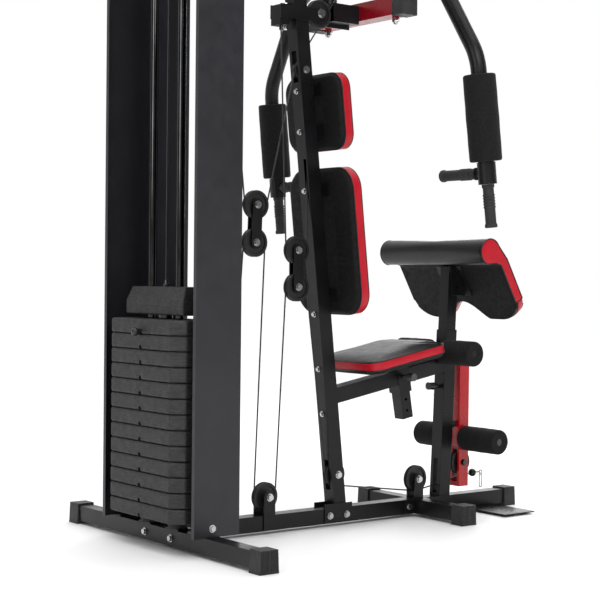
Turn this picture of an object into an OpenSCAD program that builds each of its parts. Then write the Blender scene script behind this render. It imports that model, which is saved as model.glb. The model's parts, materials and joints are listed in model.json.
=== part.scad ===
// Multi station home gym: weight stack tower, leaning mast, seat, arm, leg and preacher stations.
// Millimetres, +Z up. The user faces -Y, the weight stack is at +Y, X is the symmetry axis.
// The origin is on the floor under the middle of the whole machine.

/* [Base frame] */
// Side of the square frame tube
tube = 50; // [48:1:52]
// Wall of the square frame tube
wall = 2; // [1.5:0.5:3]
// Distance from the origin back to the middle of the rear stabilizer
rear_y = 680; // [660:5:700]
// Total length of the rear stabilizer with its caps
rear_len = 1075; // [1040:5:1100]
// Total length of the front stabilizer with its caps
front_len = 540; // [500:5:580]
// Distance from the rear stabilizer to the front stabilizer
front_run = 1021; // [1000:5:1040]
// Distance from the rear stabilizer to the front end of the rail cap
rail_run = 1483; // [1460:1:1500]
// Height of the underside of the floor tubes
ground_gap = 10; // [8:1:12]
// Half width of the foot plate
plate_half = 220; // [200:5:240]

/* [Mast and post] */
// Distance from the rear stabilizer to the mast axis at the rail
mast_run = 668; // [660:1:680]
// Backward lean of the mast
mast_lean = 6.5; // [6:0.1:7]
// Distance from the rear stabilizer to the front post axis at the rail
post_run = 1138; // [1130:1:1145]
// Forward lean of the front post
post_lean = 2.5; // [2:0.1:3]
// Height of the top of the front post
post_top = 640; // [620:5:660]
// Height of the underside of the top beam
beam_z = 2040; // [2030:5:2060]

/* [Tower] */
// Half distance between the two shroud panels
shroud_x = 259; // [250:1:265]
// Half distance between the guide rods
rod_x = 77; // [70:1:85]
// Diameter of the guide rods
rod_d = 25; // [22:1:25]
// Number of weight plates, with the top one
plates = 13; // [10:1:13]
// Height taken by one weight plate
plate_pitch = 45.9; // [44:0.1:46]
// Height of the underside of the stack
stack_z = 93; // [90:1:96]
// Half width of the flat rear face of a plate
plate_face = 167; // [160:1:170]
// Depth of a plate
plate_depth = 168; // [160:1:170]

/* [Arm station] */
// Distance from the rear stabilizer to the red cross beam
cross_run = 755; // [750:1:760]
// Height of the underside of the red cross beam
cross_z = 1667; // [1660:1:1675]
// Half distance between the arm pivots
pivot_x = 181; // [178:1:185]
// Distance of an arm's foam sleeve from the middle plane
arm_x = 537; // [530:1:542]
// Diameter of the arm tube
arm_d = 50; // [46:1:50]
// Diameter of the arm's foam sleeve
foam_d = 101; // [96:1:102]

/* [Seat and pads] */
// Rise of the seat beam towards the front
seat_pitch = 10.5; // [9:0.5:12]
// Half width of the seat cushion
seat_half = 160; // [150:5:170]
// Length of the seat cushion
seat_len = 338; // [320:1:345]
// Thickness of the seat cushion
seat_t = 55; // [50:1:58]
// Thickness of the back pads
pad_t = 58; // [50:1:60]
// Half width of the preacher pad
preacher_half = 258; // [250:1:262]

/* [Leg station] */
// Distance from the rear stabilizer to the leg lever
leg_run = 1231; // [1229:1:1233]
// Height of the leg lever's pivot
leg_pivot_z = 556; // [552:1:560]
// Side of the leg lever tube
leg_tube = 45; // [44:1:45]
// Height of the ankle rollers
ankle_z = 257; // [250:1:262]
// Diameter of the foam rollers of the leg station
roller_d = 86; // [80:1:86]

/* [Cables] */
// Diameter of the coated cable
cable_d = 5; // [4:0.5:5]
// Radius of a pulley
pulley_r = 46; // [44:1:46]
// Half offset between the two floating pulley blocks
block_x = 13; // [12:1:14]

/* [Hidden] */

black = [0.06, 0.06, 0.07];
steel = [0.75, 0.76, 0.78];
red = [0.75, 0.05, 0.10];
vinyl = [0.09, 0.09, 0.10];

half = tube / 2;
rail_top = ground_gap + tube;
front_y = rear_y - front_run;
rail_front_y = rear_y - rail_run;
mast_y = rear_y - mast_run;
post_y = rear_y - post_run;
cap_len = 54;
cap_wall = 4;
fit_gap = 0.3;

function mast_at(z) = mast_y + (z - rail_top) * tan(mast_lean);
function post_at(z) = post_y - (z - rail_top) * tan(post_lean);
mast_half = half / cos(mast_lean);
post_half = half / cos(post_lean);

// Seat beam: its underside leaves the mast's front face here
seat_beam_z = 405;
seat_beam_y = mast_at(seat_beam_z) - mast_half;
function beam_under(y) = seat_beam_z + (seat_beam_y - y) * tan(seat_pitch);
seat_post_run = 940;
seat_post_y = rear_y - seat_post_run;
seat_post_z = beam_under(seat_post_y) + half / cos(seat_pitch);
seat_post_s = 45;
seat_sleeve_s = 54;

stack_y = rear_y + 9;
rod_y = rear_y + 3;
plate_gap = 0.9;
plate_t = plate_pitch - plate_gap;
top_plate_z = stack_z + (plates - 1) * plate_pitch;
head_z = stack_z + plates * plate_pitch + 11;
head_h = 85;
head_top = head_z + head_h;
anchor_h = 20;
pin_z = top_plate_z + 7;
rear_face_y = stack_y + plate_depth / 2;
stem_r = 11;

cross_y = rear_y - cross_run;
leg_y = rear_y - leg_run;

// Pulley centres as [x, y, z]
groove = 4;
pulley_w = 18;
cable_r = cable_d / 2;
wrap_r = pulley_r - groove;
top_z = 1985;
p_tower_rear = [0, rod_y - wrap_r, top_z];
p_tower_front = [0, rod_y - wrap_r - 100, top_z];
p_high = [0, mast_at(1487) - 1, 1487];
high_pulley_r = 32;
p_top_front = [0, -195, top_z];
p_a_upper = [block_x, rear_y - 338, 1047];
p_a_lower = [block_x, rear_y - 334, 927];
p_b_upper = [-block_x, rear_y - 483, 905];
p_b_lower = [-block_x, rear_y - 484, 786];
p_rail = [0, rear_y - 375, 117];
p_mast = [0, mast_at(168) - 3, 168];
p_front = [0, front_y, 126];
p_leg = [0, leg_y, 170];
p_arm = [-block_x, rear_y - 563, 1673];
mast_pulley_r = 40;
leg_pulley_r = 43;
drop_z = top_z - 4;
lat_y = p_top_front[1] - wrap_r;
lat_z = 1900;
ball_y = rear_y - 1296;
ring_y = rear_y - 1338;
hook_z = 127;

// ---------- helpers ----------

module box(x0, x1, y0, y1, z0, z1) {
    translate([x0, y0, z0]) cube([x1 - x0, y1 - y0, z1 - z0]);
}

// A prism along X between -w/2 and w/2, from points [y, z]
module side_prism(points, w) {
    rotate([90, 0, 90]) linear_extrude(height = w, center = true) polygon(points);
}

// Round bar along X centred at x
module bar_x(r, len, at) {
    translate(at) rotate([0, 90, 0]) cylinder(r = r, h = len, center = true, $fn = 48);
}

// Hexagon head with washer, its seat at the origin, standing along +Z
module hex_head(r = 9) {
    washer_t = 1.6;
    cylinder(r = r + 2.5, h = washer_t, $fn = 32);
    translate([0, 0, washer_t]) cylinder(r = r, h = 6.5, $fn = 6);
}

// A bolt through x = -w/2 .. w/2 with a head and a nut outside
module cross_bolt(at, w, r = 6, head = 10) {
    bar_x(r, w, at);
    for (s = [-1, 1]) translate([at[0] + s * w / 2, at[1], at[2]]) rotate([0, s * 90, 0]) hex_head(head);
}

// Grooved wheel on the X axis with a bore for a 12 mm axle
module wheel(at, r = pulley_r, w = pulley_w) {
    bore = 6.06;
    web = 4;
    translate(at) rotate([0, 90, 0]) rotate_extrude($fn = 64)
        polygon([[bore, -w / 2], [15, -w / 2], [16, -w / 2 + web], [r - 10, -w / 2 + web],
            [r - 9, -w / 2], [r - 1, -w / 2], [r, -w / 2 + 1], [r, -6.2], [r - 7.2, -3],
            [r - 7.2, 3], [r, 6.2], [r, w / 2 - 1], [r - 1, w / 2], [r - 9, w / 2],
            [r - 10, w / 2 - web], [16, w / 2 - web], [15, w / 2], [bore, w / 2]]);
}

// Flat plate in the YZ plane: rounded bar between two points [y, z], from x0 to x1
module link_plate(a, b, width, x0, x1, hole = 6.1) {
    len = norm(b - a);
    ang = atan2(b[1] - a[1], b[0] - a[0]);
    translate([x0, 0, 0]) rotate([90, 0, 90]) linear_extrude(height = x1 - x0)
        translate(a) rotate(ang) difference() {
            union() {
                translate([0, -width / 2]) square([len, width]);
                circle(d = width, $fn = 48);
                translate([len, 0]) circle(d = width, $fn = 48);
            }
            circle(r = hole, $fn = 32);
            translate([len, 0]) circle(r = hole, $fn = 32);
        }
}

// ---------- cable geometry ----------

// Angles at which a straight run leaves circle a and meets circle b, both [x, y, z, r, s]
function run_angle(a, b) =
    let (dy = b[1] - a[1], dz = b[2] - a[2], d = norm([dy, dz]))
    atan2(dz, dy) - acos((a[4] * a[3] - b[4] * b[3]) / d);
function side_angle(mu, s) = s > 0 ? mu : mu + 180;
function turn(a0, a1, s) = let (d = (a1 - a0) * s, m = d - 360 * floor(d / 360)) m > 350 ? 0 : m;
function on_wheel(c, a) = [c[0], c[1] + c[3] * cos(a), c[2] + c[3] * sin(a)];
function wheel_arc(c, a0, a1) =
    let (sweep = turn(a0, a1, c[4]), n = max(1, ceil(sweep / 12)))
    [for (i = [0:n]) on_wheel(c, a0 + c[4] * sweep * i / n)];
function stop_points(stops, i) =
    let (c = stops[i])
    c[3] == 0 ? [[c[0], c[1], c[2]]] :
    let (a0 = i == 0 ? 0 : side_angle(run_angle(stops[i - 1], c), c[4]),
         a1 = i == len(stops) - 1 ? 180 : side_angle(run_angle(c, stops[i + 1]), c[4]))
    wheel_arc(c, a0, a1);
function route(stops) = [for (i = [0:len(stops) - 1]) each stop_points(stops, i)];
function unit(v) = v / norm(v);
function along(p, i) = unit(p[min(i + 1, len(p) - 1)] - p[max(i - 1, 0)]);
function ring(p, i, r, n, ref) =
    let (t = along(p, i), e = unit(cross(t, ref)), f = unit(cross(e, t)))
    [for (k = [0:n - 1]) p[i] + r * (cos(360 * k / n) * f + sin(360 * k / n) * e)];

// Round tube swept along points; the path never runs along ref
module sweep(p, r, n = 8, ref = [1, 0, 0]) {
    last = len(p) - 1;
    polyhedron(
        points = [for (i = [0:last]) each ring(p, i, r, n, ref)],
        faces = concat(
            [[for (k = [0:n - 1]) k]],
            [for (i = [0:last - 1], k = [0:n - 1])
                [i * n + k, (i + 1) * n + k, (i + 1) * n + (k + 1) % n, i * n + (k + 1) % n]],
            [[for (k = [n - 1:-1:0]) last * n + k]]),
        convexity = 10);
}

// ---------- base frame ----------

// Square floor tube along X
module tube_x(y, x_half) {
    difference() {
        box(-x_half, x_half, y - half, y + half, ground_gap, rail_top);
        box(-x_half - 1, x_half + 1, y - half + wall, y + half - wall,
            ground_gap + wall, rail_top - wall);
    }
}

module stabilizers() {
    color(black) {
        tube_x(rear_y, rear_len / 2 - cap_wall);
        tube_x(front_y, front_len / 2 - cap_wall);
    }
}

module tube_y(y0, y1) {
    difference() {
        box(-half, half, y0, y1, ground_gap, rail_top);
        box(-half + wall, half - wall, y0 - 1, y1 + 1, ground_gap + wall, rail_top - wall);
    }
}

module floor_rails() {
    color(black) {
        difference() {
            tube_y(front_y + half, rear_y - half);
            box(-8, 8, p_rail[1] - 44, p_rail[1] + 44, rail_top - wall - 1, rail_top + 1);
        }
        tube_y(rail_front_y + cap_wall, front_y - half);
    }
}

// Tapered ribbed foot cap around the end of a floor tube; the tube enters from -X
module floor_cap() {
    cap_h = 66;
    difference() {
        rotate([90, 0, 90]) linear_extrude(height = cap_len)
            polygon([[-33, 0], [33, 0], [32, 8], [29.5, cap_h], [-29.5, cap_h], [-32, 8]]);
        box(-1, cap_len - cap_wall, -half - 0.2, half + 0.2, ground_gap - 0.2, rail_top + 0.2);
        for (z = [10:8:58], s = [-1, 1])
            box(cap_len - 1.2, cap_len + 1, s * 17 - 13, s * 17 + 13, z, z + 3);
    }
}

module end_caps() {
    color([0.09, 0.09, 0.09]) {
        for (s = [0, 1]) mirror([s, 0, 0]) {
            translate([rear_len / 2 - cap_len, rear_y, 0]) floor_cap();
            translate([front_len / 2 - cap_len, front_y, 0]) floor_cap();
            translate([cross_half, cross_y, cross_z]) beam_cap();
        }
        translate([0, rail_front_y + cap_len, 0]) rotate([0, 0, -90]) floor_cap();
    }
}

module foot_plate() {
    plate_y1 = rear_y - 1240;
    plate_y0 = rear_y - 1385;
    color(black) difference() {
        box(-plate_half, plate_half, plate_y0, plate_y1, ground_gap - 4, ground_gap);
        for (s = [-1, 1], x = [60:24:204])
            translate([s * x, (plate_y0 + plate_y1) / 2, ground_gap - 5])
                cylinder(r = 4, h = 6, $fn = 24);
    }
}

// ---------- mast, post, beams ----------

module mast() {
    color(black) difference() {
        side_prism([[mast_at(rail_top) - mast_half, rail_top], [mast_at(rail_top) + mast_half, rail_top],
            [mast_at(beam_z) + mast_half, beam_z], [mast_at(beam_z) - mast_half, beam_z]], tube);
        side_prism([[mast_at(0) - mast_half + wall, 0], [mast_at(0) + mast_half - wall, 0],
            [mast_at(2100) + mast_half - wall, 2100], [mast_at(2100) - mast_half + wall, 2100]],
            tube - 2 * wall);
        box(-12, 12, p_mast[1] - 60, p_mast[1] + 60, 118, 218);
        box(-12, 12, p_high[1], p_high[1] + 60, 1446, 1546);
        box(-block_x - 7, 12, p_high[1] - 60, p_high[1], 1460, 1600);
        box(-block_x - 7, 7 - block_x, mast_at(1140), mast_at(1140) + 60, 1080, 1200);
        for (p = [p_mast, p_high]) bar_x(6.1, tube + 2, p);
    }
}

module front_post() {
    color(black) difference() {
        side_prism([[post_at(rail_top) - post_half, rail_top], [post_at(rail_top) + post_half, rail_top],
            [post_at(post_top) + post_half, post_top], [post_at(post_top) - post_half, post_top]], tube);
        side_prism([[post_at(0) - post_half + wall, 0], [post_at(0) + post_half - wall, 0],
            [post_at(700) + post_half - wall, 700], [post_at(700) - post_half + wall, 700]],
            tube - 2 * wall);
        box(-10, 10, post_y - 60, post_y + 60, 70, 190);
        translate([0, post_at(preacher_knob_z), preacher_knob_z]) rotate([-90, 0, 0])
            cylinder(r = 6.2, h = 60, $fn = 32);
    }
}

// Seat beam with the square sleeve that guides the seat post
module seat_beam() {
    y1 = seat_beam_y;
    y0 = post_at(beam_under(-400)) + post_half;
    rise = tube / cos(seat_pitch);
    thick = wall / cos(seat_pitch);
    // Where the top and bottom lines meet the mast and the post
    function mast_face(z) = mast_at(z) - mast_half;
    function post_face(z) = post_at(z) + post_half;
    top_rear_z = seat_beam_z + rise;
    bottom_front = [post_face(beam_under(y0)), beam_under(y0)];
    top_front = [post_face(beam_under(y0) + rise), beam_under(y0) + rise];
    color(black) difference() {
        union() {
            side_prism([[y1, seat_beam_z], bottom_front, top_front,
                [mast_face(top_rear_z), top_rear_z]], tube);
            translate([0, seat_post_y, seat_post_z]) rotate([-seat_pitch, 0, 0])
                translate([0, 0, -12]) cube([seat_sleeve_s, seat_sleeve_s, 86], center = true);
        }
        side_prism([[y1 + 20, seat_beam_z + thick - 20 * tan(seat_pitch)],
            [y0 - 20, beam_under(y0 - 20) + thick], [y0 - 20, beam_under(y0 - 20) + rise - thick],
            [y1 + 20, seat_beam_z + rise - thick - 20 * tan(seat_pitch)]], tube - 2 * wall);
        translate([0, seat_post_y, seat_post_z]) rotate([-seat_pitch, 0, 0])
            cube([seat_post_s + 1, seat_post_s + 1, 200], center = true);
        translate([-seat_sleeve_s / 2, seat_post_y, seat_post_z]) rotate([0, 90, 0])
            cylinder(r = 6.2, h = 20, center = true, $fn = 32);
    }
}

module top_frame() {
    cross_len = shroud_x - 1.2;
    beam_front = -262;
    color(black) {
        difference() {
            box(-half, half, beam_front, rod_y - half, beam_z, beam_z + tube);
            box(-half + wall, half - wall, beam_front + 3, rod_y, beam_z + wall, beam_z + tube - wall);
        }
        difference() {
            box(-cross_len, cross_len, rod_y - half, rod_y + half, beam_z, beam_z + tube);
            box(-cross_len - 1, cross_len + 1, rod_y - half + wall, rod_y + half - wall,
                beam_z + wall, beam_z + tube - wall);
        }
    }
}

// ---------- brackets ----------

// Two hanging ears that hold a pulley under the top beam
module hanging_ears(p) {
    ear = 3;
    gap = pulley_w / 2 + 1.5;
    for (s = [-1, 1])
        difference() {
            translate([s * (gap + ear / 2), 0, 0]) {
                translate([0, p[1], (p[2] + beam_z) / 2]) cube([ear, 36, beam_z - p[2]], center = true);
                bar_x(18, ear, [0, p[1], p[2]]);
            }
            bar_x(6.1, 60, p);
        }
}

// Two standing ears on the sides of the rail that hold a pulley over it
module rail_ears(p, z0) {
    for (s = [-1, 1]) difference() {
        translate([s * (half + 2), 0, 0]) {
            translate([0, p[1], (z0 + p[2]) / 2]) cube([4, 44, p[2] - z0], center = true);
            bar_x(22, 4, [0, p[1], p[2]]);
        }
        bar_x(6.1, 80, p);
    }
}

module brackets() {
    foot_y0 = rear_y - 715;
    foot_y1 = rear_y - 600;
    color(black) {
        for (p = [p_tower_rear, p_tower_front, p_top_front]) hanging_ears(p);
        rail_ears(p_rail, 14);
        // Mast foot cheeks
        for (s = [-1, 1]) translate([s * (half + 2), (foot_y0 + foot_y1) / 2, 45])
            cube([4, foot_y1 - foot_y0, 60], center = true);
        // Junction cheeks on the rail behind the front stabilizer
        for (s = [-1, 1]) translate([s * (half + 2), front_y + half + 26, 35])
            cube([4, 50, 46], center = true);
        // Ears of the front pulley stand on the front stabilizer
        for (s = [-1, 1]) difference() {
            union() {
                translate([s * (half - 6), p_front[1], (rail_top + p_front[2]) / 2])
                    cube([4, 40, p_front[2] - rail_top], center = true);
                bar_x(20, 4, [s * (half - 6), p_front[1], p_front[2]]);
            }
            bar_x(6.1, 80, p_front);
        }
        // Angles that hold the guide rods and the shrouds on the rear stabilizer
        for (s = [-1, 1]) {
            difference() {
                box(s * rod_x - 34, s * rod_x + 34, rear_y - half - 4, rear_y + half,
                    rail_top, rail_top + 4);
                translate([s * rod_x, rod_y, 50]) cylinder(d = rod_d + 0.2, h = 30, $fn = 48);
            }
            box(s * rod_x - 34, s * rod_x + 34, rear_y - half - 4, rear_y - half, 20, rail_top);
            translate([s * (shroud_x - 18), rear_y, rail_top + 2]) cube([34, 46, 4], center = true);
            translate([s * (shroud_x - 3), rear_y, rail_top + 24]) cube([4, 46, 40], center = true);
        }
        // Straps that carry the back pads on the mast
        for (z = [760, 1100, 1290, 1420]) pad_strap(z);
        leg_cheeks();
        cable_eye();
    }
}

// Cable eye on the rail for the dead end of the lower cable
eye_y = rear_y - 223;
eye_z = 84;
module cable_eye() {
    difference() {
        box(-10, 10, eye_y - 12, eye_y + 12, rail_top, eye_z - 6);
        translate([0, eye_y, rail_top]) cylinder(r = 3, h = 40, $fn = 24);
    }
}

strap_t = 4;
module pad_strap(z) {
    translate([0, mast_at(z), z]) rotate([-mast_lean, 0, 0])
        translate([0, -half - strap_t / 2, 0]) cube([120, strap_t, 40], center = true);
}

// Cheeks on the front post that carry the leg lever's pivot
module leg_cheeks() {
    p = [leg_y, leg_pivot_z];
    q = [post_at(leg_pivot_z), leg_pivot_z];
    for (s = [-1, 1]) difference() {
        link_plate(p, q, 40, s > 0 ? half : -half - 4, s > 0 ? half + 4 : -half, 6.1);
    }
}

// ---------- tower ----------

// Folded panel of the right side: side panel, front flange, hemmed edge
module shroud_panel() {
    t = 1.6;
    y0 = rear_y - 93;
    y1 = rear_y + 66;
    z0 = rail_top + 0.5;
    z1 = beam_z + tube - 2;
    edge = half + 2.5;
    box(shroud_x - 0.6, shroud_x + 1, y0, y1, z0, z1);
    box(edge, shroud_x + 1, y0, y0 + t, z0, z1);
    box(edge, edge + t, y0, y0 + 12, z0, z1);
    box(shroud_x - 14, shroud_x + 1, y1 - t, y1, z0, z1);
}

module shrouds() {
    color([0.13, 0.13, 0.15]) for (s = [0, 1]) mirror([s, 0, 0]) shroud_panel();
}

module guide_rods() {
    color(steel) for (s = [-1, 1]) translate([s * rod_x, rod_y, rail_top])
        cylinder(d = rod_d, h = beam_z - rail_top, $fn = 64);
}

module rubber_bumpers() {
    color([0.05, 0.05, 0.05]) {
        for (s = [-1, 1]) translate([s * rod_x, rod_y, rail_top + 4]) difference() {
            cylinder(r = 30, h = stack_z - rail_top - 4, $fn = 64);
            translate([0, 0, -1]) cylinder(d = rod_d + 0.4, h = 60, $fn = 64);
        }
        translate([0, post_at(bumper_z) - post_half, bumper_z]) rotate([90 + post_lean, 0, 0]) {
            cylinder(r = 13, h = bumper_len - 8, $fn = 48);
            translate([0, 0, bumper_len - 8]) cylinder(r1 = 13, r2 = 9, h = 8, $fn = 48);
        }
    }
}
bumper_z = 307;
bumper_len = post_at(bumper_z) - post_half - (leg_y + leg_tube / 2) - 1.4;

module plate_outline() {
    c = 34;
    w = plate_face + c;
    d = plate_depth / 2;
    polygon([[-plate_face, -d], [plate_face, -d], [w, -d + c], [w, d - c], [plate_face, d],
        [-plate_face, d], [-w, d - c], [-w, -d + c]]);
}

// One weight plate with its rod holes, stem hole and pin slot
module weight_plate(z) {
    translate([0, stack_y, z]) difference() {
        linear_extrude(height = plate_t) plate_outline();
        for (s = [-1, 1]) translate([s * rod_x, rod_y - stack_y, -1])
            cylinder(d = rod_d + 2, h = plate_t + 2, $fn = 48);
        translate([0, rod_y - stack_y, -1]) cylinder(r = stem_r + 2, h = plate_t + 2, $fn = 48);
        box(-7, 7, 0, plate_depth, -1, 13);
    }
}

module weight_plates() {
    color([0.2, 0.2, 0.2]) for (i = [0:plates - 2]) weight_plate(stack_z + i * plate_pitch);
}

module top_plate() { color([0.2, 0.2, 0.2]) weight_plate(top_plate_z); }

module head_block() {
    w0 = 160;
    w1 = 150;
    color([0.22, 0.22, 0.22]) translate([0, rod_y, head_z]) difference() {
        intersection() {
            side_prism([[-44, 0], [44, 0], [44, 42], [28, head_h], [-28, head_h], [-44, 42]], 2 * w0 + 2);
            rotate([90, 0, 0]) linear_extrude(height = 200, center = true)
                polygon([[-w0, 0], [w0, 0], [w0, 42], [w1, head_h], [-w1, head_h], [-w0, 42]]);
        }
        for (s = [-1, 1]) translate([s * rod_x, 0, -1]) cylinder(d = rod_d + 0.16, h = 100, $fn = 64);
        translate([0, 0, -1]) cylinder(r = stem_r, h = 100, $fn = 48);
    }
}

// Drilled stem that hangs from the head through all plates, with the cable anchor on top
module selector_stem() {
    z0 = stack_z + 4;
    color(steel) difference() {
        translate([0, rod_y, 0]) {
            translate([0, 0, z0]) cylinder(r = stem_r, h = head_top - z0, $fn = 48);
            translate([0, 0, head_z - 10]) cylinder(r = 22, h = 10, $fn = 48);
            translate([0, 0, head_top]) cylinder(r = 8, h = 8, $fn = 6);
            translate([0, 0, head_top + 8]) cylinder(r1 = 7, r2 = 4.5, h = anchor_h - 8, $fn = 32);
        }
        for (i = [0:plates - 1]) translate([0, rod_y, stack_z + i * plate_pitch + 7])
            rotate([90, 0, 0]) cylinder(r = 5, h = 60, center = true, $fn = 32);
    }
}

module selector_pin() {
    pin_r = 4.6;
    knob_y = rear_face_y + 8;
    color([0.05, 0.05, 0.05]) translate([0, 0, pin_z]) {
        translate([0, rod_y - 12, 0]) rotate([-90, 0, 0])
            cylinder(r = pin_r, h = knob_y - rod_y + 14, $fn = 32);
        translate([0, rear_face_y + 1, 0]) rotate([-90, 0, 0]) cylinder(r = 8, h = 10, $fn = 32);
        translate([0, rear_face_y + 17.5, 0]) sphere(r = 12.5, $fn = 40);
    }
}

// ---------- arm station ----------

plate_y1 = rear_y - 400;
module arm_carrier() {
    side = 4;
    z0 = 1644;
    z1 = 1688;
    tube_z0 = cross_z - 11;
    tube_z1 = cross_z + 49;
    tube_y1 = rear_y - 618;
    beam_rear = cross_y + 30;
    color(black) {
        // Rear block that carries the dead end of the arm cable
        difference() {
            box(-half, half, rear_y - 440, plate_y1, 1622, 1686);
            translate([-block_x, arm_end_y, 1600]) cylinder(r = 6.2, h = 40, $fn = 32);
        }
        // Near cheek, from the block past the mast to the pulley bolt
        difference() {
            union() {
                box(-half - side, -half, p_arm[1], plate_y1, z0, z1);
                translate([-half - side / 2, p_arm[1], (z0 + z1) / 2]) rotate([0, 90, 0])
                    cylinder(d = z1 - z0, h = side, center = true, $fn = 48);
            }
            bar_x(6.1, 120, p_arm);
        }
        // Far cheek, from the block to the cross beam
        difference() {
            box(half, half + side, beam_rear, plate_y1, z0, z1);
            bar_x(6.1, 120, p_arm);
        }
        // Tube from the pulley to the cross beam
        difference() {
            box(-half, half, beam_rear, tube_y1, tube_z0, tube_z1);
            box(-half + wall, half - wall, beam_rear - 1, tube_y1 + 1, tube_z0 + wall, tube_z1 - wall);
            box(-5, 5, tube_y1 - 36, tube_y1 + 1, tube_z1 - wall - 1, tube_z1 + 1);
        }
    }
}

cross_half = 191;
module cross_beam() {
    d = 30;
    boss_r = 12;
    color([0.45, 0.05, 0.09]) difference() {
        union() {
            difference() {
                box(-cross_half, cross_half, cross_y - d, cross_y + d, cross_z, cross_z + 60);
                box(-cross_half - 1, cross_half + 1, cross_y - d + wall, cross_y + d - wall,
                    cross_z + wall, cross_z + 60 - wall);
            }
            for (s = [-1, 1]) translate([s * (pivot_x - 6), cross_y, cross_z - 9])
                cylinder(r = boss_r, h = 72.95, $fn = 48);
        }
        for (s = [-1, 1]) translate([s * (pivot_x - 6), cross_y, cross_z - 20])
            cylinder(r = 8.1, h = 100, $fn = 48);
    }
}

// Cap on the end of the cross beam
module beam_cap() {
    difference() {
        box(0.2, 52, -32, 32, -3, 63);
        box(-1, 46, -27, 27, 3, 57);
    }
}

arm_hub_z = cross_z + 64;
arm_hub_h = 64;
arm_line_z = arm_hub_z + arm_hub_h + 22;
// Corner points of the arm tube as [x, y, z], from the hub to the grip socket
arm_corners = [[pivot_x - 6, cross_y, arm_line_z], [335, cross_y - 4, arm_line_z],
    [arm_x - 6, cross_y - 22, 1500], [arm_x, cross_y - 58, 1178]];

// Corner i of a bent tube replaced by a curve that starts c before it and ends c after it
function bend(p, i, c) =
    let (a = p[i] + c * unit(p[i - 1] - p[i]), b = p[i] + c * unit(p[i + 1] - p[i]))
    [for (t = [0:0.125:1]) (1 - t) * (1 - t) * a + 2 * t * (1 - t) * p[i] + t * t * b];
arm_path = concat([arm_corners[0] + [10, 0, 0]], bend(arm_corners, 1, 90), bend(arm_corners, 2, 46),
    [arm_corners[3]]);
arm_down = unit(arm_corners[3] - arm_corners[2]);
arm_low = arm_corners[3];

// Turns +Z to the direction v and moves to p
module aim(p, v) {
    translate(p) rotate([0, acos(v[2] / norm(v)), atan2(v[1], v[0])]) children();
}

function side_of(v, s) = [s * v[0], v[1], v[2]];
module arm(s) {
    socket_len = 68;
    low = side_of(arm_low, s);
    down = side_of(arm_down, s);
    hub_x = s * (pivot_x - 6);
    difference() {
        union() {
            sweep([for (p = arm_path) side_of(p, s)], arm_d / 2, 24, [0, 1, 0]);
            translate([hub_x, cross_y, arm_hub_z])
                cylinder(r = 30, h = arm_line_z + 25 - arm_hub_z, $fn = 64);
            aim(low, down) cylinder(r = 29, h = socket_len, $fn = 48);
            aim(low + 34 * down, [-s, 0, 0]) cylinder(r = 15, h = 40, $fn = 32);
        }
        translate([hub_x, cross_y, arm_hub_z - 1]) cylinder(r = 8.06, h = 200, $fn = 48);
    }
}

module arm_right() { color(black) arm(1); }
module arm_left() { color(black) arm(-1); }

module arm_foam() {
    len = 267;
    start = arm_low - (len + 2) * arm_down;
    difference() {
        aim(start, arm_down) cylinder(d = foam_d, h = len, $fn = 64);
        aim(start - 5 * arm_down, arm_down) cylinder(r = arm_d / 2 + fit_gap, h = len + 20, $fn = 64);
    }
}
module arm_foam_right() { color(vinyl) arm_foam(); }
module arm_foam_left() { color(vinyl) mirror([1, 0, 0]) arm_foam(); }

// Ribbed rubber grip along +Z
module rubber_grip(len) {
    r = 17;
    rotate_extrude($fn = 48) polygon(concat([[0, 0], [r + 2.5, 0], [r + 2.5, 9], [r, 12]],
        [for (i = [0:4]) each [[r, 30 + i * 9], [r + 1.8, 32 + i * 9],
            [r + 1.8, 36 + i * 9], [r, 38 + i * 9]]],
        [[r, len - 14], [r + 2.5, len - 9], [r + 2.5, len - 2], [r + 0.5, len], [0, len]]));
}
module arm_grips() {
    aim(arm_low + (68 + 0.2) * arm_down, arm_down) rubber_grip(134);
    aim(arm_low + 34 * arm_down + [-40.2, 0, 0], [-1, 0, 0]) rubber_grip(158);
}
module arm_grips_right() { color(black) arm_grips(); }
module arm_grips_left() { color(black) mirror([1, 0, 0]) arm_grips(); }

// ---------- pulleys, blocks, bolts ----------

module tower_rear_pulley() { color(black) wheel(p_tower_rear); }
module tower_front_pulley() { color(black) wheel(p_tower_front); }
module lat_pulley() { color(black) wheel(p_top_front); }
module high_pulley() { color(black) wheel(p_high, high_pulley_r); }
module block_a_upper_pulley() { color(black) wheel(p_a_upper); }
module block_a_lower_pulley() { color(black) wheel(p_a_lower); }
module block_b_upper_pulley() { color(black) wheel(p_b_upper); }
module block_b_lower_pulley() { color(black) wheel(p_b_lower); }
module rail_pulley() { color(black) wheel(p_rail); }
module mast_pulley() { color(black) wheel(p_mast, mast_pulley_r); }
module front_pulley() { color(black) wheel(p_front); }
module leg_pulley() { color(black) wheel(p_leg, leg_pulley_r); }
module arm_pulley() { color(black) wheel(p_arm); }

module floating_blocks() {
    in = pulley_w / 2 + 1;
    color(black) for (pair = [[p_a_upper, p_a_lower], [p_b_upper, p_b_lower]], s = [-1, 1])
        link_plate([pair[0][1], pair[0][2]], [pair[1][1], pair[1][2]], 38,
            pair[0][0] + (s > 0 ? in : -in - 3), pair[0][0] + (s > 0 ? in + 3 : -in), 6);
}

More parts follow.
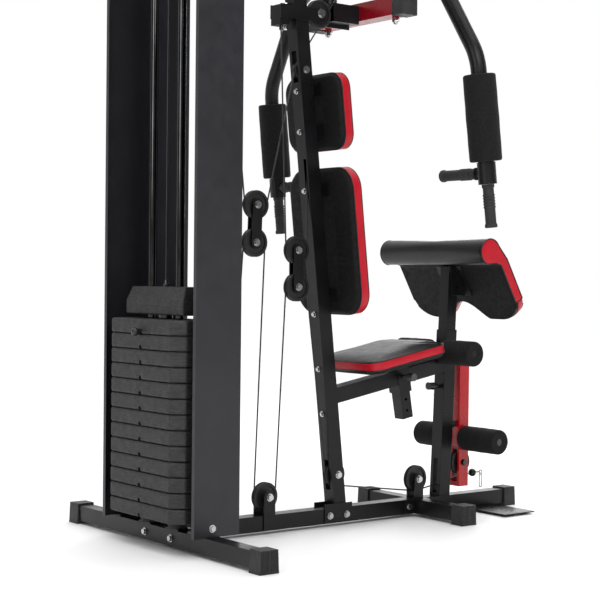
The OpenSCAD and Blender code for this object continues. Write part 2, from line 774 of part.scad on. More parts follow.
module axle_bolts() {
    block_w = pulley_w + 8;
    rail_w = tube + 8;
    color(steel) {
        for (p = [p_a_upper, p_a_lower, p_b_upper, p_b_lower]) cross_bolt(p, block_w);
        for (p = [p_tower_rear, p_tower_front, p_top_front]) cross_bolt(p, pulley_w + 9);
        cross_bolt(p_high, tube);
        cross_bolt(p_rail, rail_w);
        cross_bolt(p_mast, tube);
        cross_bolt(p_front, tube - 8);
        cross_bolt([0, p_arm[1], p_arm[2]], rail_w, 6, 13);
        cross_bolt([0, leg_y, leg_pivot_z], rail_w);
        for (s = [-1, 1]) arm_pivot_bolt(s * (pivot_x - 6));
    }
}

// Vertical pivot bolt of one arm: shaft, top washer and acorn nut underneath
module arm_pivot_bolt(x) {
    z0 = cross_z - 9;
    z1 = arm_line_z + 26;
    translate([x, cross_y, z0]) {
        cylinder(r = 8, h = z1 - z0 + 4, $fn = 48);
        translate([0, 0, z1 - z0]) cylinder(r = 17, h = 3, $fn = 48);
        translate([0, 0, z1 - z0 + 3]) cylinder(r = 13, h = 9, $fn = 6);
        translate([0, 0, -9]) cylinder(r = 12, h = 9, $fn = 6);
        translate([0, 0, -9]) sphere(r = 9.5, $fn = 32);
    }
}

// Heads of the frame bolts, seated on the faces that they clamp
module side_heads(y, z, x) {
    for (s = [-1, 1]) translate([s * x, y, z]) rotate([0, s * 90, 0]) hex_head();
}
module mast_heads(z) {
    translate([0, mast_at(z), z]) rotate([-mast_lean, 0, 0]) translate([0, half, 0])
        rotate([-90, 0, 0]) hex_head(7);
}
module frame_bolts() {
    color(steel) {
        for (y = [rear_y - 692, rear_y - 622]) side_heads(y, 36, half + 4);
        side_heads(front_y + half + 26, 36, half + 4);
        side_heads(rear_y + 3, 87, shroud_x + 1);
        for (z = [372, 520, 700, 1100, 1290, 1420]) mast_heads(z);
        for (s = [-1, 1]) translate([s * 73, rear_y + half, 34]) rotate([-90, 0, 0]) hex_head();
        // Levelling bolt behind the mast
        translate([12, rear_y - 448.4, 1620]) cylinder(r = 5, h = 72, $fn = 32);
        for (z = [1613, 1692]) translate([12, rear_y - 448.4, z]) cylinder(r = 7, h = 7, $fn = 6);
    }
}

// ---------- cables ----------

// Wheel centre as a cable stop, turned anticlockwise (1) or clockwise (-1) seen from +X
function stop(p, s, r = wrap_r) = [p[0], p[1], p[2], r, s];
function point(x, y, z) = [x, y, z, 0, 1];
arm_end_y = rear_y - 412;
low_slope = (hook_z - p_front[2] + wrap_r) / (front_y - ball_y);
function low_point(y) = point(0, y, hook_z - (y - ball_y) * low_slope);

upper_stops = [point(0, rod_y, drop_z), stop(p_tower_rear, 1), stop(p_tower_front, 1),
    stop(p_a_upper, -1), stop(p_high, 1, high_pulley_r - groove), stop(p_top_front, 1),
    point(0, lat_y, drop_z)];
lower_stops = [point(0, eye_y, eye_z - 5), stop(p_a_lower, 1), stop(p_rail, -1), stop(p_b_lower, 1),
    stop(p_mast, -1, mast_pulley_r - groove), stop(p_front, -1), low_point(leg_y + 26)];
arm_stops = [point(-block_x, arm_end_y, 1612), stop(p_b_upper, -1), stop(p_arm, 1),
    point(-block_x, rear_y - 700, 1684)];

module steel_cables() {
    color(steel) {
        sweep(route(upper_stops), cable_r);
        sweep(route(lower_stops), cable_r);
        sweep(route(arm_stops), cable_r);
        translate([-block_x, arm_end_y, 1606]) cylinder(r = 6, h = 16, $fn = 32);
    }
}

module stack_cable() {
    color(steel) translate([0, rod_y, head_top + anchor_h])
        cylinder(r = cable_r, h = drop_z - head_top - anchor_h, $fn = 24);
}

module lat_cable() {
    color(steel) translate([0, lat_y, lat_z + 62]) cylinder(r = cable_r, h = drop_z - lat_z - 62, $fn = 24);
}

// Last run of the lower cable, under the leg lever's pulley to the ball stop
module leg_cable() {
    color(steel) sweep(route([low_point(leg_y + 25.5), low_point(ball_y + 13.8)]), cable_r);
}

// ---------- lat station ----------

lat_half = 560;
lat_path = [[-lat_half, 0, -78], [-lat_half + 62, 0, -50], [-430, 0, -12], [-380, 0, 0],
    [380, 0, 0], [430, 0, -12], [lat_half - 62, 0, -50], [lat_half, 0, -78]];
module lat_bar() {
    r = 13;
    color(steel) translate([0, lat_y, lat_z]) {
        sweep(lat_path, r, 16, [0, 1, 0]);
        // Eye, link and cable ferrule over the bar
        translate([0, 0, 12]) cylinder(r = 7, h = 12, $fn = 32);
        translate([0, 0, 24]) cylinder(r = 10, h = 6, $fn = 6);
        translate([0, 0, 30]) cylinder(r = 4, h = 20, $fn = 24);
        translate([0, 0, 50]) cylinder(r1 = 8, r2 = 5, h = 12, $fn = 32);
    }
}

// ---------- leg station ----------

module leg_lever() {
    s = leg_tube / 2;
    z0 = 86;
    z1 = leg_pivot_z + 22;
    color(red) difference() {
        box(-s, s, leg_y - s, leg_y + s, z0, z1);
        box(-s + wall, s - wall, leg_y - s + wall, leg_y + s - wall, z0 + wall, z1 - wall);
        box(-12, 12, leg_y - 60, leg_y + 60, 102, 226);
        bar_x(6.06, 80, [0, leg_y, leg_pivot_z]);
        bar_x(6.06, 80, p_leg);
        bar_x(12.6, 80, [0, leg_y, ankle_z]);
    }
}

bar_r = 12.5;
ankle_half = 200;
module leg_axles() {
    color(steel) {
        bar_x(bar_r, 2 * ankle_half - 4, [0, leg_y, ankle_z]);
        cross_bolt(p_leg, leg_tube);
    }
}

// A pair of foam rollers on a round bar
module roller_pair(y, z, inner, outer) {
    for (s = [-1, 1]) difference() {
        bar_x(roller_d / 2, outer - inner, [s * (inner + outer) / 2, y, z]);
        bar_x(bar_r + 0.06, outer - inner + 2, [s * (inner + outer) / 2, y, z]);
    }
}

thigh_y = rear_y - 1118;
thigh_z = 563;
thigh_half = 189;
module ankle_rollers() { color(vinyl) roller_pair(leg_y, ankle_z, leg_tube / 2 + 4, ankle_half); }
module thigh_rollers() { color(vinyl) roller_pair(thigh_y, thigh_z, half + 10, thigh_half); }

// Bar of the thigh rollers on its saddle over the seat beam
module thigh_bar() {
    y0 = thigh_y - 14;
    y1 = thigh_y + 16;
    rise = tube / cos(seat_pitch);
    color(black) {
        bar_x(bar_r, 2 * thigh_half - 4, [0, thigh_y, thigh_z]);
        difference() {
            side_prism([[y0, beam_under(y0) + rise], [y1, beam_under(y1) + rise], [y1, thigh_z + 8],
                [y0, thigh_z + 8]], 36);
            bar_x(bar_r - 0.5, 80, [0, thigh_y, thigh_z]);
        }
    }
}

module ball_stop() {
    color([0.05, 0.05, 0.05]) {
        translate([0, ball_y, hook_z]) sphere(r = 14, $fn = 40);
        translate([0, ring_y + 9, hook_z]) rotate([-90, 0, 0])
            cylinder(r = 2.2, h = ball_y - ring_y - 20, $fn = 24);
    }
}

// Snap hook hanging from the cable's end ring
module snap_hook() {
    wire = 2.2;
    color(steel) translate([0, ring_y, hook_z]) {
        rotate([90, 0, 90]) rotate_extrude($fn = 48) translate([6, 0]) circle(r = wire, $fn = 20);
        for (s = [-1, 1]) translate([0, s * 6, -48]) cylinder(r = wire, h = 40, $fn = 20);
        translate([0, 0, -48]) rotate([0, 90, 0]) rotate([0, 0, -90]) rotate_extrude(angle = 180, $fn = 48)
            translate([6, 0]) circle(r = wire, $fn = 20);
        translate([0, 0, -10]) cube([5, 16, 7], center = true);
    }
}

// ---------- seat ----------

module seat_frame() {
    translate([0, seat_post_y, seat_post_z]) rotate([-seat_pitch, 0, 0]) children();
}
seat_gap = 31;
seat_post_low = -146;

module seat_post() {
    s = seat_post_s / 2;
    plate_z = half + seat_gap - 4;
    color(black) seat_frame() {
        difference() {
            box(-s, s, -s, s, seat_post_low, plate_z);
            box(-s + wall, s - wall, -s + wall, s - wall, seat_post_low - 1, plate_z - 4);
            for (z = [0, -40, -80, -118]) translate([-s, 0, z]) rotate([0, 90, 0])
                cylinder(r = 5.2, h = 20, center = true, $fn = 32);
        }
        box(-50, 50, -130, 110, plate_z, plate_z + 4);
        for (x = [-50, 46]) box(x, x + 4, -130, 110, plate_z - 14, plate_z);
    }
}

module rounded_outline(hx, y0, y1, r) {
    translate([-hx + r, y0]) square([2 * (hx - r), y1 - y0]);
    translate([-hx, y0 + r]) square([2 * hx, y1 - y0 - 2 * r]);
    for (x = [-hx + r, hx - r], y = [y0 + r, y1 - r]) translate([x, y]) circle(r = r, $fn = 48);
}

module seat_cushion() {
    front = seat_post_y - (rear_y - 1046);
    color(vinyl) seat_frame() translate([0, 0, half + seat_gap + 0.3])
        linear_extrude(height = seat_t) rounded_outline(seat_half, -front, seat_len - front, 40);
}

// Knurled pull knob on a spring pin, standing along +Z
module pull_knob(depth) {
    translate([0, 0, -depth]) cylinder(r = 4.8, h = depth + 28, $fn = 32);
    translate([0, 0, 12]) cylinder(r = 9, h = 14, $fn = 32);
    translate([0, 0, 26]) cylinder(r = 13, h = 26, $fn = 48);
}

module seat_knob() {
    color([0.3, 0.3, 0.31]) translate([-seat_sleeve_s / 2, seat_post_y, seat_post_z]) rotate([0, -90, 0])
        translate([0, 0, 1]) pull_knob(5.2);
}

// ---------- preacher station ----------

preacher_knob_z = 441;
module post_frame(z) {
    translate([0, post_at(z), z]) rotate([post_lean, 0, 0]) children();
}

preacher_s = 43;
post_low = 340;
post_high = 862;

// Side outline of the preacher post: leaning tube whose top is cut along the back of the pad
module preacher_outline(inset) {
    h = (preacher_s / 2 - inset) / cos(post_lean);
    lean = tan(post_lean);
    slack = 0.6 + 1.6 * inset;
    cut_z = (post_y - h + rail_top * lean - pad_top[0] - slack + pad_top[1] * pad_slope)
        / (pad_slope + lean);
    low = post_low - (inset > 0 ? 1 : 0);
    high = post_high - inset;
    side_prism([[post_at(low) - h, low], [post_at(low) + h, low], [post_at(high) + h, high],
        [pad_line(high) + slack, high], [pad_line(cut_z) + slack, cut_z]], preacher_s - 2 * inset);
}

module preacher_post() {
    s = preacher_s / 2;
    color(black) {
        difference() {
            preacher_outline(0);
            preacher_outline(wall);
            for (z = [0, 40, 80]) post_frame(preacher_knob_z) translate([0, 0, z]) rotate([-90, 0, 0])
                cylinder(r = 5.2, h = 60, $fn = 32);
        }
        // Gusset plates between the post and the back of the pad
        for (x = [s + 2, -s - 2]) translate([x, 0, 0])
            side_prism([[pad_line(post_high) + 0.6, post_high], [post_at(post_high) + 22, post_high],
                [post_at(760), 760], [pad_line(760) + 0.6, 760]], 4);
        side_prism([[pad_line(post_high) + 0.6, post_high], [pad_line(post_high) + 4.6, post_high],
            [pad_line(760) + 4.6, 760], [pad_line(760) + 0.6, 760]], 2 * (s + 40));
    }
}

// The rear face of the preacher pad's slab: y for a height z
pad_top = [rear_y - 1165, 868];
pad_low = [rear_y - 1275, 676];
pad_slope = (pad_top[0] - pad_low[0]) / (pad_top[1] - pad_low[1]);
function pad_line(z) = pad_top[0] + (z - pad_top[1]) * pad_slope;

// Roll and sloping slab of the preacher pad, with an arch cut between its two lobes
module preacher_pad() {
    roll = [rear_y - 1118, 910];
    roll_r = 46;
    slab_t = 42;
    slope = pad_top - pad_low;
    out = unit([-slope[1], slope[0]]);
    color(vinyl) difference() {
        union() {
            bar_x(roll_r, 2 * preacher_half, [0, roll[0], roll[1]]);
            side_prism([pad_top + [8, 30], pad_top, pad_low, pad_low + slab_t * out,
                pad_top + slab_t * out + [0, 30], roll + [0, roll_r]], 2 * preacher_half);
        }
        // The arch and the outer corners are cut square to the slab
        translate([0, pad_low[0], pad_low[1]]) rotate([90 - atan2(slope[1], slope[0]), 0, 0]) {
            translate([0, 0, -10]) rotate([90, 0, 0]) cylinder(r = 78, h = 300, center = true, $fn = 64);
            for (s = [-1, 1]) translate([s * (preacher_half - 30), 0, 40]) difference() {
                translate([s * 50, 0, -60]) cube([100 + 60, 300, 200], center = true);
                translate([s * -30, 0, 40]) rotate([90, 0, 0])
                    cylinder(r = 60, h = 400, center = true, $fn = 64);
                translate([s * -80, 0, 40]) cube([100, 400, 400], center = true);
            }
        }
    }
}

module preacher_knob() {
    color([0.06, 0.06, 0.06]) post_frame(preacher_knob_z) translate([0, half + 1, 0])
        rotate([-90, 0, 0]) pull_knob(3.2);
}

// ---------- back pads ----------

module back_pad(z0, z1, hx, r) {
    len = (z1 - z0) / cos(mast_lean);
    translate([0, mast_at(z0), z0]) rotate([-mast_lean, 0, 0])
        translate([0, -half - strap_t - 0.1, 0]) rotate([90, 0, 0])
            linear_extrude(height = pad_t) rounded_outline(hx, 0, len, r);
}
module back_pads() {
    color(vinyl) {
        back_pad(1223, 1471, 147, 50);
        back_pad(691, 1170, 165, 70);
    }
}

stabilizers();
floor_rails();
end_caps();
foot_plate();
mast();
front_post();
seat_beam();
top_frame();
brackets();
shrouds();
guide_rods();
rubber_bumpers();
weight_plates();
arm_carrier();
cross_beam();
floating_blocks();
axle_bolts();
steel_cables();
back_pads();
thigh_bar();
frame_bolts();
tower_rear_pulley();
tower_front_pulley();
lat_pulley();
high_pulley();
block_a_upper_pulley();
block_a_lower_pulley();
block_b_upper_pulley();
block_b_lower_pulley();
rail_pulley();
mast_pulley();
front_pulley();
leg_pulley();
arm_pulley();
head_block();
top_plate();
selector_stem();
selector_pin();
stack_cable();
lat_bar();
lat_cable();
arm_left();
arm_right();
arm_foam_left();
arm_foam_right();
arm_grips_left();
arm_grips_right();
leg_lever();
leg_axles();
ankle_rollers();
thigh_rollers();
leg_cable();
ball_stop();
snap_hook();
seat_post();
seat_cushion();
seat_knob();
preacher_post();
preacher_pad();
preacher_knob();
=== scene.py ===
"""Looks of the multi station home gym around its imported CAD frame. Metres, +Z up."""
import json
import math

import bmesh
import bpy
from mathutils import Matrix, Vector

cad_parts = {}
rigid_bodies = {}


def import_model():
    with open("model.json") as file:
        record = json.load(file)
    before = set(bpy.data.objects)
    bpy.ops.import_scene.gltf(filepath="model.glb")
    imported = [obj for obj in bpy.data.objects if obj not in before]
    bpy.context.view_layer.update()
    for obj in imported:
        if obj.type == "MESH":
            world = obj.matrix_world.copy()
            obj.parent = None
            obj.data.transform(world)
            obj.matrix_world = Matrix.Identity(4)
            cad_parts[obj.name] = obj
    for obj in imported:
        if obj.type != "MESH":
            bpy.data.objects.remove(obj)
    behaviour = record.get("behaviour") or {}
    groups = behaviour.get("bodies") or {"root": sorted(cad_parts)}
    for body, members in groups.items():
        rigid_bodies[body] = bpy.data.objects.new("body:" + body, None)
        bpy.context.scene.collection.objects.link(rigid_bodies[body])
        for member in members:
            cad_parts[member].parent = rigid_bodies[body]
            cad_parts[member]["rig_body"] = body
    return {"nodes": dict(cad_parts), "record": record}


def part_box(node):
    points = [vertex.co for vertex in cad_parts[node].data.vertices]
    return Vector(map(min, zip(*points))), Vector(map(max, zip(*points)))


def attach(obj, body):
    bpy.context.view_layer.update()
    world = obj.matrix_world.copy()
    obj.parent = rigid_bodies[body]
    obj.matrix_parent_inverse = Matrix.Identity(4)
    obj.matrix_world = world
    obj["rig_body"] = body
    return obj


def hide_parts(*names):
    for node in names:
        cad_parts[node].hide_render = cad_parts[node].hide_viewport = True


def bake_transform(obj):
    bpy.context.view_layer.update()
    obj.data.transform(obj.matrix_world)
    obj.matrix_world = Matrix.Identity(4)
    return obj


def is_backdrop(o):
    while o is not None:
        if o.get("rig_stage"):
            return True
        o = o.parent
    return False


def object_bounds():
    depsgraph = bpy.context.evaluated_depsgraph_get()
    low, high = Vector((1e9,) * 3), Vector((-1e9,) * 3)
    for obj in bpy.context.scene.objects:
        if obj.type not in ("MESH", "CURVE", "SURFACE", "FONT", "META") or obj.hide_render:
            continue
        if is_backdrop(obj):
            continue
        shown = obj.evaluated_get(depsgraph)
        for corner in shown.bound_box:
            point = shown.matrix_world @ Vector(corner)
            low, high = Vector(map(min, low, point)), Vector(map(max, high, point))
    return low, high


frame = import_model()
NODES = frame["nodes"]
SIZES = {"rest": [[list(corner) for corner in pair] if hasattr(pair[0], "__len__") else list(pair)
                  for pair in [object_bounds()]]}

# ---------------------------------------------------------------- materials


def link(tree, a, b):
    tree.links.new(a, b)


def new_material(name, rough=0.5, metallic=0.0, coat=0.0, sheen=0.0, specular=0.5):
    m = bpy.data.materials.new(name)
    m.use_nodes = True
    shader = m.node_tree.nodes["Principled BSDF"]
    shader.inputs["Roughness"].default_value = rough
    shader.inputs["Metallic"].default_value = metallic
    shader.inputs["Coat Weight"].default_value = coat
    shader.inputs["Coat Roughness"].default_value = 0.15
    shader.inputs["Sheen Weight"].default_value = sheen
    shader.inputs["Specular IOR Level"].default_value = specular
    return m, m.node_tree, shader


def noise(tree, scale, detail=3.0, stretch=(1, 1, 1)):
    """Noise in the object's own metres; scale is features per metre."""
    coords = tree.nodes.new("ShaderNodeTexCoord")
    mapping = tree.nodes.new("ShaderNodeMapping")
    mapping.inputs["Scale"].default_value = stretch
    tex = tree.nodes.new("ShaderNodeTexNoise")
    tex.inputs["Scale"].default_value = scale
    tex.inputs["Detail"].default_value = detail
    link(tree, coords.outputs["Object"], mapping.inputs["Vector"])
    link(tree, mapping.outputs["Vector"], tex.inputs["Vector"])
    return tex.outputs["Fac"]


def cells(tree, scale):
    """Distance to the nearest of many scattered points, for pebbled grain."""
    coords = tree.nodes.new("ShaderNodeTexCoord")
    tex = tree.nodes.new("ShaderNodeTexVoronoi")
    tex.inputs["Scale"].default_value = scale
    link(tree, coords.outputs["Object"], tex.inputs["Vector"])
    return tex.outputs["Distance"]


def ramp(tree, value, dark, light, low=0.3, high=0.7):
    node = tree.nodes.new("ShaderNodeValToRGB")
    node.color_ramp.elements[0].position = low
    node.color_ramp.elements[0].color = (*dark, 1)
    node.color_ramp.elements[1].position = high
    node.color_ramp.elements[1].color = (*light, 1)
    link(tree, value, node.inputs["Fac"])
    return node.outputs["Color"]


def spread(tree, value, low, high, start=0.3, end=0.7):
    node = tree.nodes.new("ShaderNodeMapRange")
    node.inputs["From Min"].default_value = start
    node.inputs["From Max"].default_value = end
    node.inputs["To Min"].default_value = low
    node.inputs["To Max"].default_value = high
    link(tree, value, node.inputs["Value"])
    return node.outputs["Result"]


def bump(tree, shader, *layers):
    """Each layer is (height, strength, distance in metres)."""
    normal = None
    for height, strength, distance in layers:
        node = tree.nodes.new("ShaderNodeBump")
        node.inputs["Strength"].default_value = strength
        node.inputs["Distance"].default_value = distance
        link(tree, height, node.inputs["Height"])
        if normal is not None:
            link(tree, normal, node.inputs["Normal"])
        normal = node.outputs["Normal"]
    link(tree, normal, shader.inputs["Normal"])


def painted(name, dark, light, rough=(0.32, 0.45), coat=0.0, peel=700, specular=0.5):
    """Powder coat: slow colour drift, orange peel and small rub marks in the gloss."""
    m, tree, shader = new_material(name, coat=coat, specular=specular)
    link(tree, ramp(tree, noise(tree, 9, 4), dark, light), shader.inputs["Base Color"])
    link(tree, spread(tree, noise(tree, 26, 6), *rough), shader.inputs["Roughness"])
    bump(tree, shader, (noise(tree, peel, 2), 0.16, 0.0006), (noise(tree, 60, 2), 0.03, 0.002))
    return m


def moulded(name, dark, light, rough=(0.5, 0.65), grain=1200, strength=0.25, speckle=500,
            stretch=(1, 1, 1)):
    """Moulded plastic or rubber: fine speckle, soft gloss changes and a grained surface."""
    m, tree, shader = new_material(name)
    colour = ramp(tree, noise(tree, speckle, 5, stretch), dark, light, 0.35, 0.65)
    link(tree, colour, shader.inputs["Base Color"])
    link(tree, spread(tree, noise(tree, 40, 5), *rough), shader.inputs["Roughness"])
    bump(tree, shader, (noise(tree, grain, 3, stretch), strength, 0.0010))
    return m


def ribbed_groove_shaded(name, dark, light):
    """Tube cap plastic with fine upright grip ribs on its sides, coloured lighter on the rib crests and
    darker in the grooves as painted shade.
    """
    m, tree, shader = new_material(name, specular=0.4)
    link(tree, spread(tree, noise(tree, 40, 5), 0.4, 0.55), shader.inputs["Roughness"])
    coords = tree.nodes.new("ShaderNodeTexCoord")
    both = tree.nodes.new("ShaderNodeMath")
    both.operation = "ADD"
    for k, axis in enumerate("XY"):
        wave = tree.nodes.new("ShaderNodeTexWave")
        wave.bands_direction = axis
        wave.inputs["Scale"].default_value = 55
        link(tree, coords.outputs["Object"], wave.inputs["Vector"])
        link(tree, wave.outputs["Fac"], both.inputs[k])
    ribs = both.outputs["Value"]
    # Base colour follows the rib height: lighter on the crests and darker in the grooves, which is painted
    # shade.
    link(tree, ramp(tree, ribs, dark, light, 0.4, 1.0), shader.inputs["Base Color"])
    bump(tree, shader, (noise(tree, 1100, 3), 0.2, 0.0005), (ribs, 0.9, 0.0022))
    return m


def metal(name, dark, light, rough=(0.14, 0.26), stretch=(1, 1, 1), scale=300):
    """Polished metal with a brushed or speckled gloss."""
    m, tree, shader = new_material(name, metallic=1.0)
    link(tree, ramp(tree, noise(tree, 20, 4), dark, light), shader.inputs["Base Color"])
    link(tree, spread(tree, noise(tree, scale, 4, stretch), *rough), shader.inputs["Roughness"])
    bump(tree, shader, (noise(tree, scale, 3, stretch), 0.05, 0.0004))
    return m


def vinyl(name, dark, light, rough=(0.3, 0.42), coat=0.1):
    """Soft sheet vinyl: pebbled leather grain, faint creases, slow gloss changes."""
    m, tree, shader = new_material(name, coat=coat, specular=0.35)
    link(tree, ramp(tree, noise(tree, 14, 5), dark, light), shader.inputs["Base Color"])
    link(tree, spread(tree, noise(tree, 30, 4), *rough), shader.inputs["Roughness"])
    bump(tree, shader, (cells(tree, 620), 0.22, 0.0006), (noise(tree, 45, 3), 0.10, 0.003))
    return m


def pleated(name, dark, light):
    """Backing cloth with upright pleats, laid along the piece's own edge length (UV x)."""
    m, tree, shader = new_material(name, specular=0.2, sheen=0.02)
    link(tree, ramp(tree, noise(tree, 300, 4), dark, light), shader.inputs["Base Color"])
    link(tree, spread(tree, noise(tree, 60, 4), 0.55, 0.75), shader.inputs["Roughness"])
    uv = tree.nodes.new("ShaderNodeUVMap")
    uv.uv_map = "UVMap"
    wave = tree.nodes.new("ShaderNodeTexWave")
    wave.bands_direction = "X"
    wave.inputs["Scale"].default_value = 50
    wave.inputs["Distortion"].default_value = 0.6
    link(tree, uv.outputs["UV"], wave.inputs["Vector"])
    bump(tree, shader, (wave.outputs["Fac"], 0.7, 0.0014), (noise(tree, 900, 2), 0.2, 0.0004))
    return m


def foam_material(name, dark, light):
    """Open-cell foam: dull, speckled and pitted."""
    m, tree, shader = new_material(name, specular=0.2, sheen=0.03)
    link(tree, ramp(tree, noise(tree, 240, 6), dark, light), shader.inputs["Base Color"])
    link(tree, spread(tree, noise(tree, 120, 4), 0.72, 0.92), shader.inputs["Roughness"])
    bump(tree, shader, (cells(tree, 1300), 0.45, 0.0008), (noise(tree, 70, 4), 0.2, 0.002))
    return m


def cable_material(name, dark, light):
    """Smooth coating with the lay of the strands just showing through."""
    m, tree, shader = new_material(name, coat=0.15)
    link(tree, ramp(tree, noise(tree, 60, 3), dark, light), shader.inputs["Base Color"])
    link(tree, spread(tree, noise(tree, 200, 3), 0.3, 0.45), shader.inputs["Roughness"])
    coords = tree.nodes.new("ShaderNodeTexCoord")
    wave = tree.nodes.new("ShaderNodeTexWave")
    wave.bands_direction = "DIAGONAL"
    wave.inputs["Scale"].default_value = 60
    link(tree, coords.outputs["Object"], wave.inputs["Vector"])
    bump(tree, shader, (wave.outputs["Fac"], 0.25, 0.0003))
    return m


def grey(v, tint=0.0):
    """A grey that leans to blue by tint."""
    return (v, v, v * (1 + tint))


MAT = {
    "frame_black": painted("powder_black", grey(0.0045, 0.1), grey(0.0075, 0.15), rough=(0.26, 0.38),
                           specular=0.28),
    "shroud_black": painted("shroud_powder", grey(0.012, 0.25), grey(0.017, 0.3), rough=(0.34, 0.44),
                            peel=900),
    "cap_plastic": ribbed_groove_shaded("cap_plastic", grey(0.002), grey(0.022)),
    # Chrome guide rods with their base colour painted dark to stand for the dark surroundings they reflect:
    # painted reflection.
    "chrome_rod": metal("chrome_rod_painted_dark_reflection", grey(0.055), grey(0.085), rough=(0.08, 0.18),
                        stretch=(1, 1, 0.05)),
    "bumper_rubber": moulded("black_rubber", grey(0.012), grey(0.022), rough=(0.6, 0.8), grain=900),
    "plate_grey": moulded("plate_shell", grey(0.007), grey(0.030), rough=(0.5, 0.7), grain=380,
                          strength=1.0, speckle=420, stretch=(0.12, 0.12, 1)),
    "beam_red": painted("dark_red", (0.20, 0.001, 0.006), (0.27, 0.002, 0.009), rough=(0.2, 0.32),
                        coat=0.15),
    "lever_red": painted("bright_red", (0.46, 0.0, 0.003), (0.54, 0.001, 0.006), rough=(0.24, 0.36),
                         coat=0.1),
    "bolt_steel": metal("zinc_bolt", grey(0.42), grey(0.60), rough=(0.12, 0.26), scale=600),
    "cable_steel": cable_material("cable_coat", grey(0.008), grey(0.014)),
    "pad_vinyl": vinyl("black_vinyl", grey(0.004), grey(0.008)),
    "foam_black": foam_material("black_foam", grey(0.003), grey(0.012)),
    "pulley_black": moulded("pulley_nylon", grey(0.005), grey(0.010), rough=(0.35, 0.5), grain=1500,
                            strength=0.12),
    "knob_black": moulded("knob_black", grey(0.008), grey(0.013), rough=(0.22, 0.34), grain=1500,
                          strength=0.08),
    "knob_grey": moulded("knob_grey", grey(0.06), grey(0.10), rough=(0.4, 0.55)),
    "bar_steel": metal("bar_chrome", grey(0.60), grey(0.72), rough=(0.1, 0.22), stretch=(0.05, 1, 1)),
}
RED_VINYL = vinyl("red_vinyl", (0.44, 0.002, 0.012), (0.53, 0.004, 0.018), rough=(0.34, 0.46), coat=0.0)
PLEATS = pleated("pleated_backing", grey(0.002), grey(0.006))

NODE_SLOT = {s["node"]: s["material_slot"] for s in frame["record"]["subparts"]}
for name, node in NODES.items():
    node.data.materials.clear()
    node.data.materials.append(MAT[NODE_SLOT[name]])


# ---------------------------------------------------------------- mesh helpers


def link_object(name, mesh):
    """Puts a mesh in the scene as a new object."""
    o = bpy.data.objects.new(name, mesh)
    bpy.context.scene.collection.objects.link(o)
    return o


def smooth(mesh, angle=38):
    """Smooth shading, with edges sharper than angle degrees kept sharp."""
    mesh.shade_smooth()
    mesh.set_sharp_from_angle(angle=math.radians(angle))


def apply_modifiers(o):
    """Keeps what the modifiers make as the object's own mesh."""
    deps = bpy.context.evaluated_depsgraph_get()
    mesh = bpy.data.meshes.new_from_object(o.evaluated_get(deps), preserve_all_data_layers=True,
                                           depsgraph=deps)
    o.modifiers.clear()
    old = o.data
    o.data = mesh
    bpy.data.meshes.remove(old)


def even_normals(o):
    """Flat faces shade flat right up to their rolled edges."""
    o.modifiers.new("normals", "WEIGHTED_NORMAL").keep_sharp = True
    apply_modifiers(o)


def soften(node, width, segments=2, angle=40):
    """A copy of a CAD node with its long sharp edges rolled, which stands for it."""
    source = NODES[node]
    mesh = source.data.copy()
    o = link_object(node + "_soft", mesh)
    bm = bmesh.new()
    bm.from_mesh(mesh)
    bmesh.ops.remove_doubles(bm, verts=bm.verts, dist=2e-5)
    bmesh.ops.dissolve_limit(bm, angle_limit=math.radians(0.6), verts=bm.verts, edges=bm.edges)
    weight = bm.edges.layers.float.new("bevel_weight_edge")
    for e in bm.edges:
        if len(e.link_faces) == 2 and e.calc_length() > 2.5 * width:
            e[weight] = 1.0 if e.calc_face_angle(0.0) > math.radians(angle) else 0.0
    bm.to_mesh(mesh)
    bm.free()
    bevel = o.modifiers.new("edges", "BEVEL")
    bevel.limit_method = "WEIGHT"
    bevel.width = width
    bevel.segments = segments
    bevel.use_clamp_overlap = True
    bevel.harden_normals = False
    apply_modifiers(o)
    smooth(o.data, 32)
    even_normals(o)
    o.data.materials.clear()
    o.data.materials.append(MAT[NODE_SLOT[node]])
    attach(o, source["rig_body"])
    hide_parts(node)
    return o


def tube_mesh(points, radius, segments=16, closed=False):
    """Round tube along points, with a steady frame from end to end."""
    pts = [Vector(p) for p in points]
    n = len(pts)
    verts, faces = [], []
    side = None
    for i, p in enumerate(pts):
        before = pts[(i - 1) % n] if closed else pts[max(i - 1, 0)]
        after = pts[(i + 1) % n] if closed else pts[min(i + 1, n - 1)]
        t = (after - before).normalized()
        if side is None:
            side = t.orthogonal().normalized()
        side = (side - t * side.dot(t)).normalized()
        up = t.cross(side)
        for k in range(segments):
            a = 2 * math.pi * k / segments
            verts.append(p + radius * (math.cos(a) * side + math.sin(a) * up))
    last = n if closed else n - 1
    for i in range(last):
        j = (i + 1) % n
        for k in range(segments):
            m = (k + 1) % segments
            faces.append((i * segments + k, i * segments + m, j * segments + m, j * segments + k))
    if not closed:
        faces.append(tuple(reversed(range(segments))))
        faces.append(tuple((n - 1) * segments + k for k in range(segments)))
    mesh = bpy.data.meshes.new("tube")
    mesh.from_pydata(verts, [], faces)
    mesh.update()
    smooth(mesh, 50)
    return mesh


